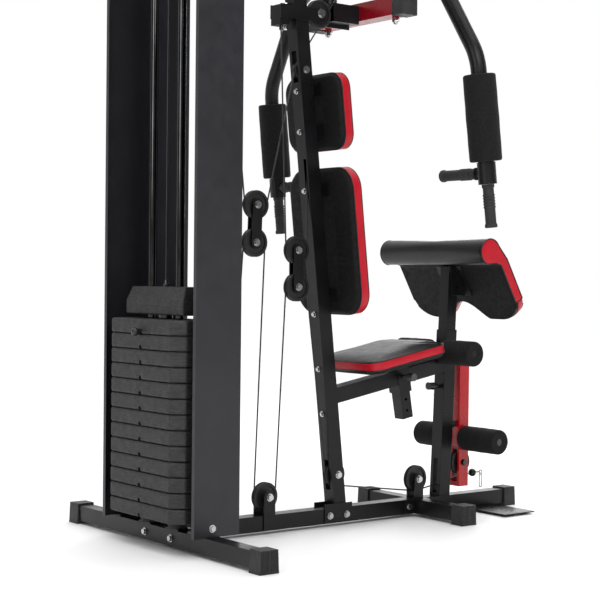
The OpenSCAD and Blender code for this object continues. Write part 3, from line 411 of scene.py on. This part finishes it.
def lathe(name, profile, origin, axis, segments=72):
    """Closed solid of revolution: profile holds (distance along axis, radius), from hole to hole."""
    z = Vector(axis).normalized()
    x = z.orthogonal().normalized()
    y = z.cross(x)
    origin = Vector(origin)
    verts, faces = [], []
    n = len(profile)
    for k in range(segments):
        a = 2 * math.pi * k / segments
        d = math.cos(a) * x + math.sin(a) * y
        for along, r in profile:
            verts.append(origin + along * z + r * d)
    for k in range(segments):
        m = (k + 1) % segments
        for i in range(n):
            j = (i + 1) % n
            faces.append((k * n + i, m * n + i, m * n + j, k * n + j))
    mesh = bpy.data.meshes.new(name)
    mesh.from_pydata(verts, [], faces)
    bm = bmesh.new()
    bm.from_mesh(mesh)
    bmesh.ops.recalc_face_normals(bm, faces=bm.faces)
    bm.to_mesh(mesh)
    bm.free()
    smooth(mesh, 45)
    return link_object(name, mesh)


def join(name, objects):
    """One object from several, with their materials kept."""
    with bpy.context.temp_override(active_object=objects[0], object=objects[0],
                                   selected_objects=objects, selected_editable_objects=objects):
        bpy.ops.object.join()
    objects[0].name = name
    return objects[0]


def puff(o, pins, pressure, cap):
    """Cloth pressure run with the seam rings held; no point moves further than cap."""
    group = o.vertex_groups.new(name="seam")
    group.add(sorted(pins), 1.0, "REPLACE")
    cloth = o.modifiers.new("fill", "CLOTH")
    s = cloth.settings
    s.quality = 6
    s.mass = 0.3
    s.tension_stiffness = 12
    s.compression_stiffness = 12
    s.shear_stiffness = 4
    s.bending_stiffness = 1.5
    s.use_pressure = True
    s.uniform_pressure_force = pressure
    s.vertex_group_mass = "seam"
    s.pin_stiffness = 1.0
    s.effector_weights.gravity = 0
    cloth.collision_settings.use_collision = False
    cloth.point_cache.frame_start = 1
    cloth.point_cache.frame_end = 20
    scene = bpy.context.scene
    for f in range(1, 21):
        scene.frame_set(f)
    deps = bpy.context.evaluated_depsgraph_get()
    grown = o.evaluated_get(deps).to_mesh()
    moves = [g.co - v.co for g, v in zip(grown.vertices, o.data.vertices)]
    for v, d in zip(o.data.vertices, moves):
        if d.length > cap:
            d = d * (cap / d.length)
        v.co = v.co + d
    o.evaluated_get(deps).to_mesh_clear()
    o.modifiers.clear()
    scene.frame_set(1)


def subdivide(o):
    """One level of smooth subdivision, applied."""
    s = o.modifiers.new("round", "SUBSURF")
    s.levels = 1
    s.render_levels = 1
    apply_modifiers(o)
    smooth(o.data, 60)


# ---------------------------------------------------------------- cushions

PITCH = math.radians(10.5)
LEAN = math.radians(6.5)


def mast_y(z):
    """Y of the leaning mast's centre line at height z."""
    return 0.012 + (z - 0.060) * math.tan(LEAN)


def rounded_loop(hx, y0, y1, r, inset, count):
    """Points on a rounded rectangle drawn in by inset, evenly spaced, from the middle of its low side."""
    hx, y0, y1, r = hx - inset, y0 + inset, y1 - inset, max(r - inset * 0.6, 0.004)
    r = min(r, hx * 0.98, (y1 - y0) * 0.49)
    corners = [(hx - r, y0 + r, -90), (hx - r, y1 - r, 0), (-hx + r, y1 - r, 90), (-hx + r, y0 + r, 180)]
    dense = [(0.0, y0)]
    for cx, cy, start in corners:
        for k in range(13):
            a = math.radians(start + 90 * k / 12)
            dense.append((cx + r * math.cos(a), cy + r * math.sin(a)))
    dense.append((0.0, y0))
    lengths = [0.0]
    for a, b in zip(dense, dense[1:]):
        lengths.append(lengths[-1] + math.dist(a, b))
    out, seg = [], 0
    for k in range(count):
        want = lengths[-1] * k / count
        while lengths[seg + 1] < want:
            seg += 1
        t = (want - lengths[seg]) / max(lengths[seg + 1] - lengths[seg], 1e-9)
        a, b = dense[seg], dense[seg + 1]
        out.append((a[0] + (b[0] - a[0]) * t, a[1] + (b[1] - a[1]) * t))
    return out


def strips(ring):
    """Quads straight across a closed ring that is the same on both sides of its first vertex."""
    n = len(ring)
    out = []
    for j in range(n // 2):
        poly = []
        for v in (ring[j], ring[j + 1], ring[n - j - 1], ring[(n - j) % n]):
            if v not in poly:
                poly.append(v)
        out.append(tuple(poly))
    return out


def cushion(name, place, hx, y0, y1, r, thick, band, backing, body, node, crown):
    """Vinyl pad: pleated backing strip, red side band between two seams, crowned black face."""
    count = 144
    top = thick - 0.002
    seam_low, seam_high = backing, backing + band
    rings = [(0.060, 0.0005), (0.024, 0.0003), (0.015, 0.0012), (0.0095, 0.0042), (0.0055, backing * 0.6),
             (0.0034, backing - 0.0015), (0.0044, seam_low), (0.0016, seam_low + 0.002)]
    steps = 6
    for k in range(1, steps):
        rings.append((0.0014, seam_low + 0.002 + (band - 0.004) * k / steps))
    rings += [(0.0018, seam_high - 0.002), (0.0046, seam_high), (0.0052, seam_high + 0.0025),
              (0.0085, top - crown * 0.55)]
    reach = min(hx, (y1 - y0) / 2)
    for share, drop in ((0.12, 0.3), (0.20, 0.16), (0.31, 0.08), (0.44, 0.03), (0.56, 0.01), (0.67, 0.0),
                        (0.76, 0.0)):
        rings.append((reach * share, top - crown * drop))
    verts, uvs = [], []
    length = 2 * (2 * hx + (y1 - y0))
    for inset, z in rings:
        for k, (x, y) in enumerate(rounded_loop(hx, y0, y1, r, inset, count)):
            verts.append(place @ Vector((x, y, z)))
            uvs.append((length * k / count, z))
    n = len(rings)
    faces, kinds = [], []
    low_index = 6
    high_index = 6 + 1 + steps + 1
    for i in range(n - 1):
        kind = 2 if i < low_index else (1 if i < high_index else 0)
        for k in range(count):
            m = (k + 1) % count
            faces.append((i * count + k, i * count + m, (i + 1) * count + m, (i + 1) * count + k))
            kinds.append(kind)
    for poly in strips(list(range(count))):
        faces.append(tuple(reversed(poly)))
        kinds.append(2)
    for poly in strips([(n - 1) * count + k for k in range(count)]):
        faces.append(poly)
        kinds.append(0)
    mesh = bpy.data.meshes.new(name)
    mesh.from_pydata(verts, [], faces)
    layer = mesh.uv_layers.new(name="UVMap")
    for loop in mesh.loops:
        layer.data[loop.index].uv = uvs[loop.vertex_index]
    for m in (MAT["pad_vinyl"], RED_VINYL, PLEATS):
        mesh.materials.append(m)
    mesh.polygons.foreach_set("material_index", kinds)
    o = link_object(name, mesh)
    pins = set(range(0, count * 6))
    for i in (low_index, high_index):
        pins |= set(range(i * count, (i + 1) * count))
    puff(o, pins, 2.2, 0.007)
    subdivide(o)
    pipes = []
    for inset, z in ((0.0028, seam_low), (0.0036, seam_high)):
        loop = [place @ Vector((x, y, z)) for x, y in rounded_loop(hx, y0, y1, r, inset, 120)]
        pipe = link_object(name + "_piping", tube_mesh(loop, 0.0023, 10, closed=True))
        pipe.data.materials.append(MAT["pad_vinyl"])
        pipes.append(pipe)
    o = join(name, [o] + pipes)
    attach(o, body)
    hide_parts(*node)
    return o


def place_from(origin, ex, ey, ez):
    """The matrix that puts local axes along ex, ey and ez at origin."""
    m = Matrix.Identity(4)
    for c, v in enumerate((ex, ey, ez)):
        for k in range(3):
            m[k][c] = v[k]
    m.translation = Vector(origin)
    return m


seat_up = Vector((0, math.sin(PITCH), math.cos(PITCH)))
seat_back = Vector((0, math.cos(PITCH), -math.sin(PITCH)))
beam_y = mast_y(0.405) - 0.025 / math.cos(LEAN)
seat_post_y = -0.260
seat_post_z = 0.405 + (beam_y - seat_post_y) * math.tan(PITCH) + 0.025 / math.cos(PITCH)
seat_base = Vector((0, seat_post_y, seat_post_z)) + seat_up * 0.0563
cushion("seat_pad", place_from(seat_base, (1, 0, 0), seat_back, seat_up), 0.160, -0.106, 0.232, 0.045,
        0.056, 0.029, 0.015, "seat", ["seat_cushion"], 0.010)

pad_up = Vector((0, math.sin(LEAN), math.cos(LEAN)))
pad_out = Vector((0, -math.cos(LEAN), math.sin(LEAN)))


def back_pad(name, z0, z1, hx, r, node):
    """A back cushion on the leaning mast, between heights z0 and z1."""
    base = Vector((0, mast_y(z0), z0)) + pad_out * 0.0291
    cushion(name, place_from(base, (1, 0, 0), pad_up, pad_out), hx, 0.0, (z1 - z0) / math.cos(LEAN), r,
            0.060, 0.032, 0.017, "frame", node, 0.010)


back_pad("head_pad", 1.223, 1.471, 0.147, 0.052, ["back_pads"])
back_pad("lumbar_pad", 0.691, 1.170, 0.165, 0.072, ["back_pads"])


# ---------------------------------------------------------------- preacher pad

ROLL = Vector((0, -0.438, 0.910))
ROLL_R = 0.0455
ROLL_START, ROLL_END = 152, -78  # degrees round the roll that the skin covers
TOP = Vector((0, -0.485, 0.868))
LOW = Vector((0, -0.595, 0.676))
SLAB = 0.041
DOWN = (LOW - TOP).normalized()
OUT = Vector((0, DOWN.z, -DOWN.y))
if OUT.y > 0:
    OUT = -OUT


def slab_length(x):
    """How far the slab reaches down at this x: two lobes, an arch between them, round outer corners."""
    full = (LOW - TOP).length
    a = abs(x)
    cut = 0.0
    arch = 0.078
    if a < arch + 0.03:
        t = min(a / (arch + 0.03), 1.0)
        cut = 0.068 * (1 - t * t) ** 1.6
    corner = 0.258 - 0.095
    if a > corner:
        t = min((a - corner) / 0.095, 1.0)
        cut = 0.080 * (1 - math.sqrt(max(1 - t * t, 0.0)))
    return full - cut


def preacher_profile(x, inset):
    """Closed loop of (point, kind): 0 front skin, 1 red edge, 2 pleated back."""
    reach = slab_length(x) - inset
    thick = SLAB - 0.002
    loop = []
    roll_r = ROLL_R - inset
    # Back of the slab, from the roll down
    start = TOP + OUT * (0.001 + inset)
    for k in range(14):
        t = k / 13
        loop.append((start + DOWN * (0.004 + (reach - 0.010) * t), 2))
    # Lower edge, black next to the back and red from there on
    edge = TOP + DOWN * reach
    for k in range(1, 8):
        a = math.radians(-90 + 180 * k / 8)
        depth = 0.5 + 0.5 * math.sin(a)
        swell = 0.0045 * math.cos(a)
        loop.append((edge + OUT * (0.001 + inset + (thick - 2 * inset) * depth) + DOWN * (swell - 0.0045),
                     2 if k < 4 else 1))
    # Front skin up to the roll
    front_top = TOP + OUT * (thick - inset)
    for k in range(16):
        t = k / 15
        loop.append((front_top + DOWN * (reach - 0.006) * (1 - t), 0))
    # Round the roll, over its top, and back under it
    for k in range(27):
        a = math.radians(ROLL_START + (ROLL_END - ROLL_START) * k / 26)
        loop.append((ROLL + Vector((0, math.cos(a), math.sin(a))) * roll_r, 0))
    loop.append((Vector((0, -0.462, 0.8725)), 2))
    return loop


def preacher_pad():
    """The arm pad: a roll along the top and an arched slab below, skinned as one piece."""
    half = 0.2575
    xs = [-half, -half + 0.0012, -half + 0.004, -half + 0.010]
    inner = 74
    for k in range(1, inner):
        xs.append(-half + 0.010 + (2 * half - 0.020) * k / inner)
    xs += [half - 0.010, half - 0.004, half - 0.0012, half]
    insets = {0: 0.0050, 1: 0.0018, 2: 0.0004, len(xs) - 1: 0.0050, len(xs) - 2: 0.0018, len(xs) - 3: 0.0004}
    verts, kinds_of, uvs, loops = [], [], [], []
    for i, x in enumerate(xs):
        loop = preacher_profile(x, insets.get(i, 0.0))
        loops.append(loop)
        run = 0.0
        for j, (p, kind) in enumerate(loop):
            verts.append((x, p.y, p.z))
            uvs.append((x, run))
            if j + 1 < len(loop):
                run += (loop[j + 1][0] - p).length
        kinds_of = [k for _, k in loop]
    m = len(loops[0])
    faces, kinds = [], []
    for i in range(len(xs) - 1):
        end = i < 2 or i > len(xs) - 4
        for j in range(m):
            k = (j + 1) % m
            faces.append((i * m + j, i * m + k, (i + 1) * m + k, (i + 1) * m + j))
            kind = kinds_of[j] if kinds_of[j] == kinds_of[k] else 1 if 1 in (kinds_of[j], kinds_of[k]) else 2
            kinds.append(1 if end and i in (0, len(xs) - 2) else kind)
    # End faces: rings that close towards the middle line of the profile
    for i in (0, len(xs) - 1):
        ring = [i * m + j for j in range(m)]
        x = xs[i]
        sign = -1 if i == 0 else 1
        for step, shrink in enumerate((0.16, 0.36)):
            new = []
            for j in range(m):
                p = loops[i][j][0]
                c = spine_point(p)
                q = p + (c - p) * shrink
                new.append(len(verts))
                verts.append((x + sign * 0.0018 * (1 + step) * 0.4, q.y, q.z))
                uvs.append((x, 0))
            for j in range(m):
                k = (j + 1) % m
                quad = (ring[j], ring[k], new[k], new[j])
                faces.append(quad if i else tuple(reversed(quad)))
                kinds.append(1)
            ring = new
        faces.append(tuple(ring) if i else tuple(reversed(ring)))
        kinds.append(1)
    mesh = bpy.data.meshes.new("preacher_cushion")
    mesh.from_pydata(verts, [], faces)
    mesh.polygons.foreach_set("material_index", kinds)
    layer = mesh.uv_layers.new(name="UVMap")
    for loop in mesh.loops:
        layer.data[loop.index].uv = uvs[loop.vertex_index]
    for mat in (MAT["pad_vinyl"], RED_VINYL, PLEATS):
        mesh.materials.append(mat)
    bm = bmesh.new()
    bm.from_mesh(mesh)
    ends = [f for f in bm.faces if len(f.verts) > 4]
    bmesh.ops.triangulate(bm, faces=ends, ngon_method="EAR_CLIP")
    bmesh.ops.recalc_face_normals(bm, faces=bm.faces)
    bm.to_mesh(mesh)
    bm.free()
    o = link_object("preacher_cushion", mesh)
    pins = set()
    for i in range(len(xs)):
        for j in range(m):
            near_seam = kinds_of[j] != kinds_of[(j + 1) % m] or kinds_of[j] == 2 or kinds_of[j] == 1
            if near_seam or i < 2 or i > len(xs) - 3:
                pins.add(i * m + j)
    pins |= set(range(len(xs) * m, len(verts)))
    puff(o, pins, 2.0, 0.006)
    subdivide(o)
    pipes = []
    for x in (-half + 0.0008, half - 0.0008):
        loop = [Vector((x, p.y, p.z)) for p, _ in preacher_profile(x, 0.0016)]
        pipes.append(tube_mesh(loop, 0.0022, 10, closed=True))
    for pick in (0.0, 1.0):
        line = []
        for x in xs[3:-3]:
            p = TOP + DOWN * (slab_length(x) - 0.005) + OUT * (0.002 + pick * (SLAB - 0.004))
            line.append(Vector((x, p.y, p.z)))
        pipes.append(tube_mesh(line, 0.0022, 10))
    objects = []
    for k, mesh in enumerate(pipes):
        mesh.materials.append(MAT["pad_vinyl"])
        objects.append(link_object(f"preacher_piping_{k}", mesh))
    o = join("preacher_cushion", [o] + objects)
    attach(o, "preacher")
    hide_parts("preacher_pad")


def spine_point(p):
    """Nearest point on the middle line of the pad's end: down the slab, then to the roll's centre."""
    a = TOP + OUT * SLAB * 0.5 + DOWN * 0.20
    b = TOP + OUT * SLAB * 0.5 - DOWN * 0.01
    best = None
    for s, e in ((a, b), (b, ROLL)):
        d = e - s
        t = max(0.0, min(1.0, (p - s).dot(d) / d.length_squared))
        q = s + d * t
        if best is None or (q - p).length < (best - p).length:
            best = q
    return best


preacher_pad()


# ---------------------------------------------------------------- foam sleeves and rollers


def foam(name, start, axis, length, radius, hole):
    """Foam sleeve: rounded ends, slightly drawn in near them, and a faint waist."""
    edge = 0.007
    profile = [(0.0005, hole), (0.0, hole + 0.004), (0.0003, radius - edge * 1.3)]
    for k in range(1, 7):
        a = math.radians(90 * k / 6)
        profile.append((edge - edge * math.cos(a), radius - edge + edge * math.sin(a)))
    for k in range(1, 16):
        t = k / 16
        belly = 0.0006 * math.sin(math.pi * t) - 0.0004 * math.cos(6 * math.pi * t) * math.sin(math.pi * t)
        profile.append((edge + (length - 2 * edge) * t, radius + belly))
    for k in range(0, 7):
        a = math.radians(90 - 90 * k / 6)
        profile.append((length - edge + edge * math.cos(a), radius - edge + edge * math.sin(a)))
    profile += [(length - 0.0003, radius - edge * 1.3), (length, hole + 0.004), (length - 0.0005, hole)]
    o = lathe(name, profile, start, axis, 80)
    o.data.materials.append(MAT["foam_black"])
    return o


LOW_ARM = Vector((0.537, -0.133, 1.178))
HIGH_ARM = Vector((0.531, -0.097, 1.500))
SLEEVE_LENGTH, SLEEVE_R, ARM_HOLE_R = 0.267, 0.0503, 0.0253
ROLLER_R, AXLE_HOLE_R = 0.0428, 0.0126
for side, s in (("right", 1), ("left", -1)):
    low = Vector((s * LOW_ARM.x, LOW_ARM.y, LOW_ARM.z))
    high = Vector((s * HIGH_ARM.x, HIGH_ARM.y, HIGH_ARM.z))
    down = (low - high).normalized()
    top = low - down * (SLEEVE_LENGTH + 0.002)
    sleeve = foam("arm_sleeve_" + side, top, down, SLEEVE_LENGTH, SLEEVE_R, ARM_HOLE_R)
    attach(sleeve, "arm_foam_" + side)
    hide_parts("arm_foam_" + side)

for node, y, z, inner, outer in (("ankle_rollers", -0.551, 0.257, 0.0265, 0.200),
                                 ("thigh_rollers", -0.438, 0.563, 0.035, 0.189)):
    pair = [foam(f"{node}_{s}", (s * inner, y, z), (s, 0, 0), outer - inner, ROLLER_R, AXLE_HOLE_R)
            for s in (1, -1)]
    o = join(node + "_foam", pair)
    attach(o, node)
    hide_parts(node)


# ---------------------------------------------------------------- cables that run to moving parts


def line_points(a, b, count):
    a, b = Vector(a), Vector(b)
    return [a.lerp(b, k / (count - 1)) for k in range(count)]


def cable(name, points, node):
    """A round cable along points that stands for a CAD cable."""
    o = link_object(name, tube_mesh(points, 0.0025, 14))
    o.data.materials.append(MAT["cable_steel"])
    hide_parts(node)
    return o


head_end = (0, 0.683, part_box("stack_cable")[0].z)
o = cable("stack_line", line_points((0, 0.683, 1.981), head_end, 60), "stack_cable")
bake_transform(o)
bar_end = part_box("lat_cable")[0].z
o = cable("lat_line", line_points((0, -0.237, 1.981), (0, -0.237, bar_end), 24), "lat_cable")
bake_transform(o)

near_post, at_stop = (0, -0.5255, 0.1129), (0, -0.6022, 0.1248)
o = cable("leg_line", line_points(near_post, at_stop, 24), "leg_cable")
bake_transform(o)


# ---------------------------------------------------------------- rolled edges on the hard parts

for node, width in (("stabilizers", 0.0030), ("floor_rails", 0.0030), ("mast", 0.0030),
                    ("front_post", 0.0030), ("seat_beam", 0.0025), ("top_frame", 0.0030),
                    ("cross_beam", 0.0030), ("leg_lever", 0.0028), ("seat_post", 0.0022),
                    ("preacher_post", 0.0022), ("arm_carrier", 0.0018), ("head_block", 0.0050),
                    ("end_caps", 0.0012), ("shrouds", 0.0004)):
    soften(node, width, 3 if width > 0.002 else 2)

# ---------------------------------------------------------------- weight plates

PLATE_Y, ROD_Y, ROD_X = 0.689, 0.683, 0.077
PLATE_T, PLATE_PITCH, PLATE_Z = 0.045, 0.0459, 0.093
FIXED_PLATES = 12
ROD_HOLE_R, STEM_HOLE_R = 0.0134, 0.0128
SLOT_HALF, SLOT_SIDE, SLOT_RISE = 0.007, 0.007, 0.006


def plate_ring(inset, z, corner=0.012):
    """The plate's eight-sided outline with round corners, drawn in by inset, at height z."""
    face, cut, deep = 0.167, 0.034, 0.084
    wide = face + cut
    outline = [Vector(p) for p in ((-face, -deep), (face, -deep), (wide, -deep + cut), (wide, deep - cut),
                                   (face, deep), (-face, deep), (-wide, deep - cut), (-wide, -deep + cut))]
    ring = []
    for i, p in enumerate(outline):
        before = (p - outline[i - 1]).normalized()
        after = (outline[(i + 1) % 8] - p).normalized()
        n0, n1 = Vector((before.y, -before.x)), Vector((after.y, -after.x))
        centre = p - (n0 + n1) * (corner / (1 + n0.dot(n1)))
        a0 = math.atan2(n0.y, n0.x)
        turn = math.acos(max(-1.0, min(1.0, n0.dot(n1))))
        for k in range(5):
            a = a0 + turn * k / 4
            q = centre + (corner - inset) * Vector((math.cos(a), math.sin(a)))
            ring.append((q.x, PLATE_Y + q.y, z))
    return ring


def solid_of(rings):
    """Vertices and faces of a closed solid through rings of equal length."""
    m = len(rings[0])
    verts = [p for ring in rings for p in ring]
    faces = [tuple(reversed(range(m)))]
    for i in range(len(rings) - 1):
        for j in range(m):
            k = (j + 1) % m
            faces.append((i * m + j, i * m + k, (i + 1) * m + k, (i + 1) * m + j))
    faces.append(tuple((len(rings) - 1) * m + j for j in range(m)))
    return verts, faces


def plate(name, z):
    """One plate: rolled rims, rod and stem holes, and the pin slot open to the back."""
    roll = 0.0075
    rings = []
    for k in range(6):
        a = math.radians(18 * k)
        rings.append(plate_ring(roll * (1 - math.sin(a)), z + roll * (1 - math.cos(a))))
    for k in range(6):
        a = math.radians(90 - 18 * k)
        rings.append(plate_ring(roll * (1 - math.sin(a)), z + PLATE_T - roll * (1 - math.cos(a))))
    mesh = bpy.data.meshes.new(name)
    verts, faces = solid_of(rings)
    mesh.from_pydata(verts, [], faces)
    o = link_object(name, mesh)
    drill_verts, drill_faces = [], []
    for x, r in ((-ROD_X, ROD_HOLE_R), (0.0, STEM_HOLE_R), (ROD_X, ROD_HOLE_R)):
        turns = [math.tau * k / 40 for k in range(40)]
        circle = [(x + r * math.cos(a), ROD_Y + r * math.sin(a)) for a in turns]
        v, f = solid_of([[(a, b, z + h) for a, b in circle] for h in (-0.01, PLATE_T + 0.01)])
        offset = len(drill_verts)
        drill_verts.extend(v)
        drill_faces.extend(tuple(i + offset for i in face) for face in f)
    tool_mesh = bpy.data.meshes.new("cutter")
    tool_mesh.from_pydata(drill_verts, [], drill_faces)
    slot_mesh = bpy.data.meshes.new("slot")
    arch = [(-SLOT_HALF, -0.01), (SLOT_HALF, -0.01), (SLOT_HALF, SLOT_SIDE)]
    for k in range(1, 12):
        a = math.radians(15 * k)
        arch.append((SLOT_HALF * math.cos(a), SLOT_SIDE + SLOT_RISE * math.sin(a)))
    arch.append((-SLOT_HALF, SLOT_SIDE))
    v, f = solid_of([[(x, y, z + h) for x, h in arch] for y in (PLATE_Y + 0.12, ROD_Y)])
    slot_mesh.from_pydata(v, [], f)
    for tool in (tool_mesh, slot_mesh):
        cutter = link_object("cutter", tool)
        cut = o.modifiers.new("cut", "BOOLEAN")
        cut.operation = "DIFFERENCE"
        cut.solver = "EXACT"
        cut.object = cutter
        apply_modifiers(o)
        bpy.data.objects.remove(cutter)
    smooth(o.data, 30)
    even_normals(o)
    o.data.materials.clear()
    o.data.materials.append(MAT["plate_grey"])
    return o


TOP_PLATE_Z = PLATE_Z + FIXED_PLATES * PLATE_PITCH
for name, node, body, start, count in (("stack_plates", "weight_plates", "frame", PLATE_Z, FIXED_PLATES),
                                       ("pinned_plate", "top_plate", "stack_carriage", TOP_PLATE_Z, 1)):
    pieces = [plate(f"{name}_{k}", start + k * PLATE_PITCH) for k in range(count)]
    o = join(name, pieces) if count > 1 else pieces[0]
    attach(o, body)
    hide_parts(node)

# ---------------------------------------------------------------- stage, light, camera


def area(name, place, aim, size, power):
    """A soft rectangular light at place, turned to aim."""
    light = bpy.data.lights.new(name, "AREA")
    light.shape = "RECTANGLE"
    light.size, light.size_y = size
    light.energy = power
    o = bpy.data.objects.new(name, light)
    bpy.context.scene.collection.objects.link(o)
    o.location = place
    o.rotation_euler = (Vector(aim) - Vector(place)).to_track_quat("-Z", "Y").to_euler()
    o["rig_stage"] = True


def floor():
    """A wide pale studio floor just under the feet."""
    size = 30
    mesh = bpy.data.meshes.new("floor")
    corners = [(-size, -size, 0), (size, -size, 0), (size, size, 0), (-size, size, 0)]
    mesh.from_pydata(corners, [], [(0, 1, 2, 3)])
    m, tree, shader = new_material("studio_floor", rough=0.6)
    link(tree, ramp(tree, noise(tree, 0.6, 2), grey(0.86), grey(0.90)), shader.inputs["Base Color"])
    mesh.materials.append(m)
    o = link_object("floor", mesh)
    o.location.z = -0.0005
    o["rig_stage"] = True


floor()
world = bpy.data.worlds.new("studio")
world.use_nodes = True
sky = world.node_tree
sky_coords = sky.nodes.new("ShaderNodeTexCoord")
toward = sky.nodes.new("ShaderNodeVectorMath")
toward.operation = "DOT_PRODUCT"
toward.inputs[1].default_value = (0.79, -0.61, 0.0)
link(sky, sky_coords.outputs["Generated"], toward.inputs[0])
sky.nodes["Background"].inputs["Color"].default_value = (1, 1, 1, 1)
brightness = spread(sky, toward.outputs["Value"], 0.17, 1.0, -0.2, 0.75)
link(sky, brightness, sky.nodes["Background"].inputs["Strength"])
bpy.context.scene.world = world
bpy.context.scene.view_settings.view_transform = "Standard"
area("key", (-4.2, 1.2, 3.4), (0, 0, 0.9), (2.4, 2.4), 85)
area("back_left", (-1.5, 4.8, 2.6), (0, 0.3, 0.9), (2.0, 2.6), 60)
area("front_fill", (2.5, -4.0, 2.4), (0, 0, 0.9), (2.5, 2.5), 50)
top_light = bpy.data.lights.new("overhead", "SUN")
top_light.energy = 2.3
top_light.angle = math.radians(70)
overhead = bpy.data.objects.new("overhead", top_light)
bpy.context.scene.collection.objects.link(overhead)
overhead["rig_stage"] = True

camera_data = bpy.data.cameras.new("camera")
camera_data.lens = 88.05
camera_data.sensor_width = 36
camera_data.clip_end = 100
camera = bpy.data.objects.new("camera", camera_data)
bpy.context.scene.collection.objects.link(camera)
back = Vector((-0.79176, 0.61064, 0.01521)).normalized()
up = Vector((0.01846, -0.00096, 0.99983))
right = up.cross(back).normalized()
up = back.cross(right)
camera.matrix_world = Matrix(((right.x, up.x, back.x, -3.7689), (right.y, up.y, back.y, 3.0767),
                              (right.z, up.z, back.z, 0.8168), (0, 0, 0, 1)))
bpy.context.scene.camera = camera

SIZES["end"] = [[list(corner) for corner in pair] if hasattr(pair[0], "__len__") else list(pair)
                for pair in [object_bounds()]]
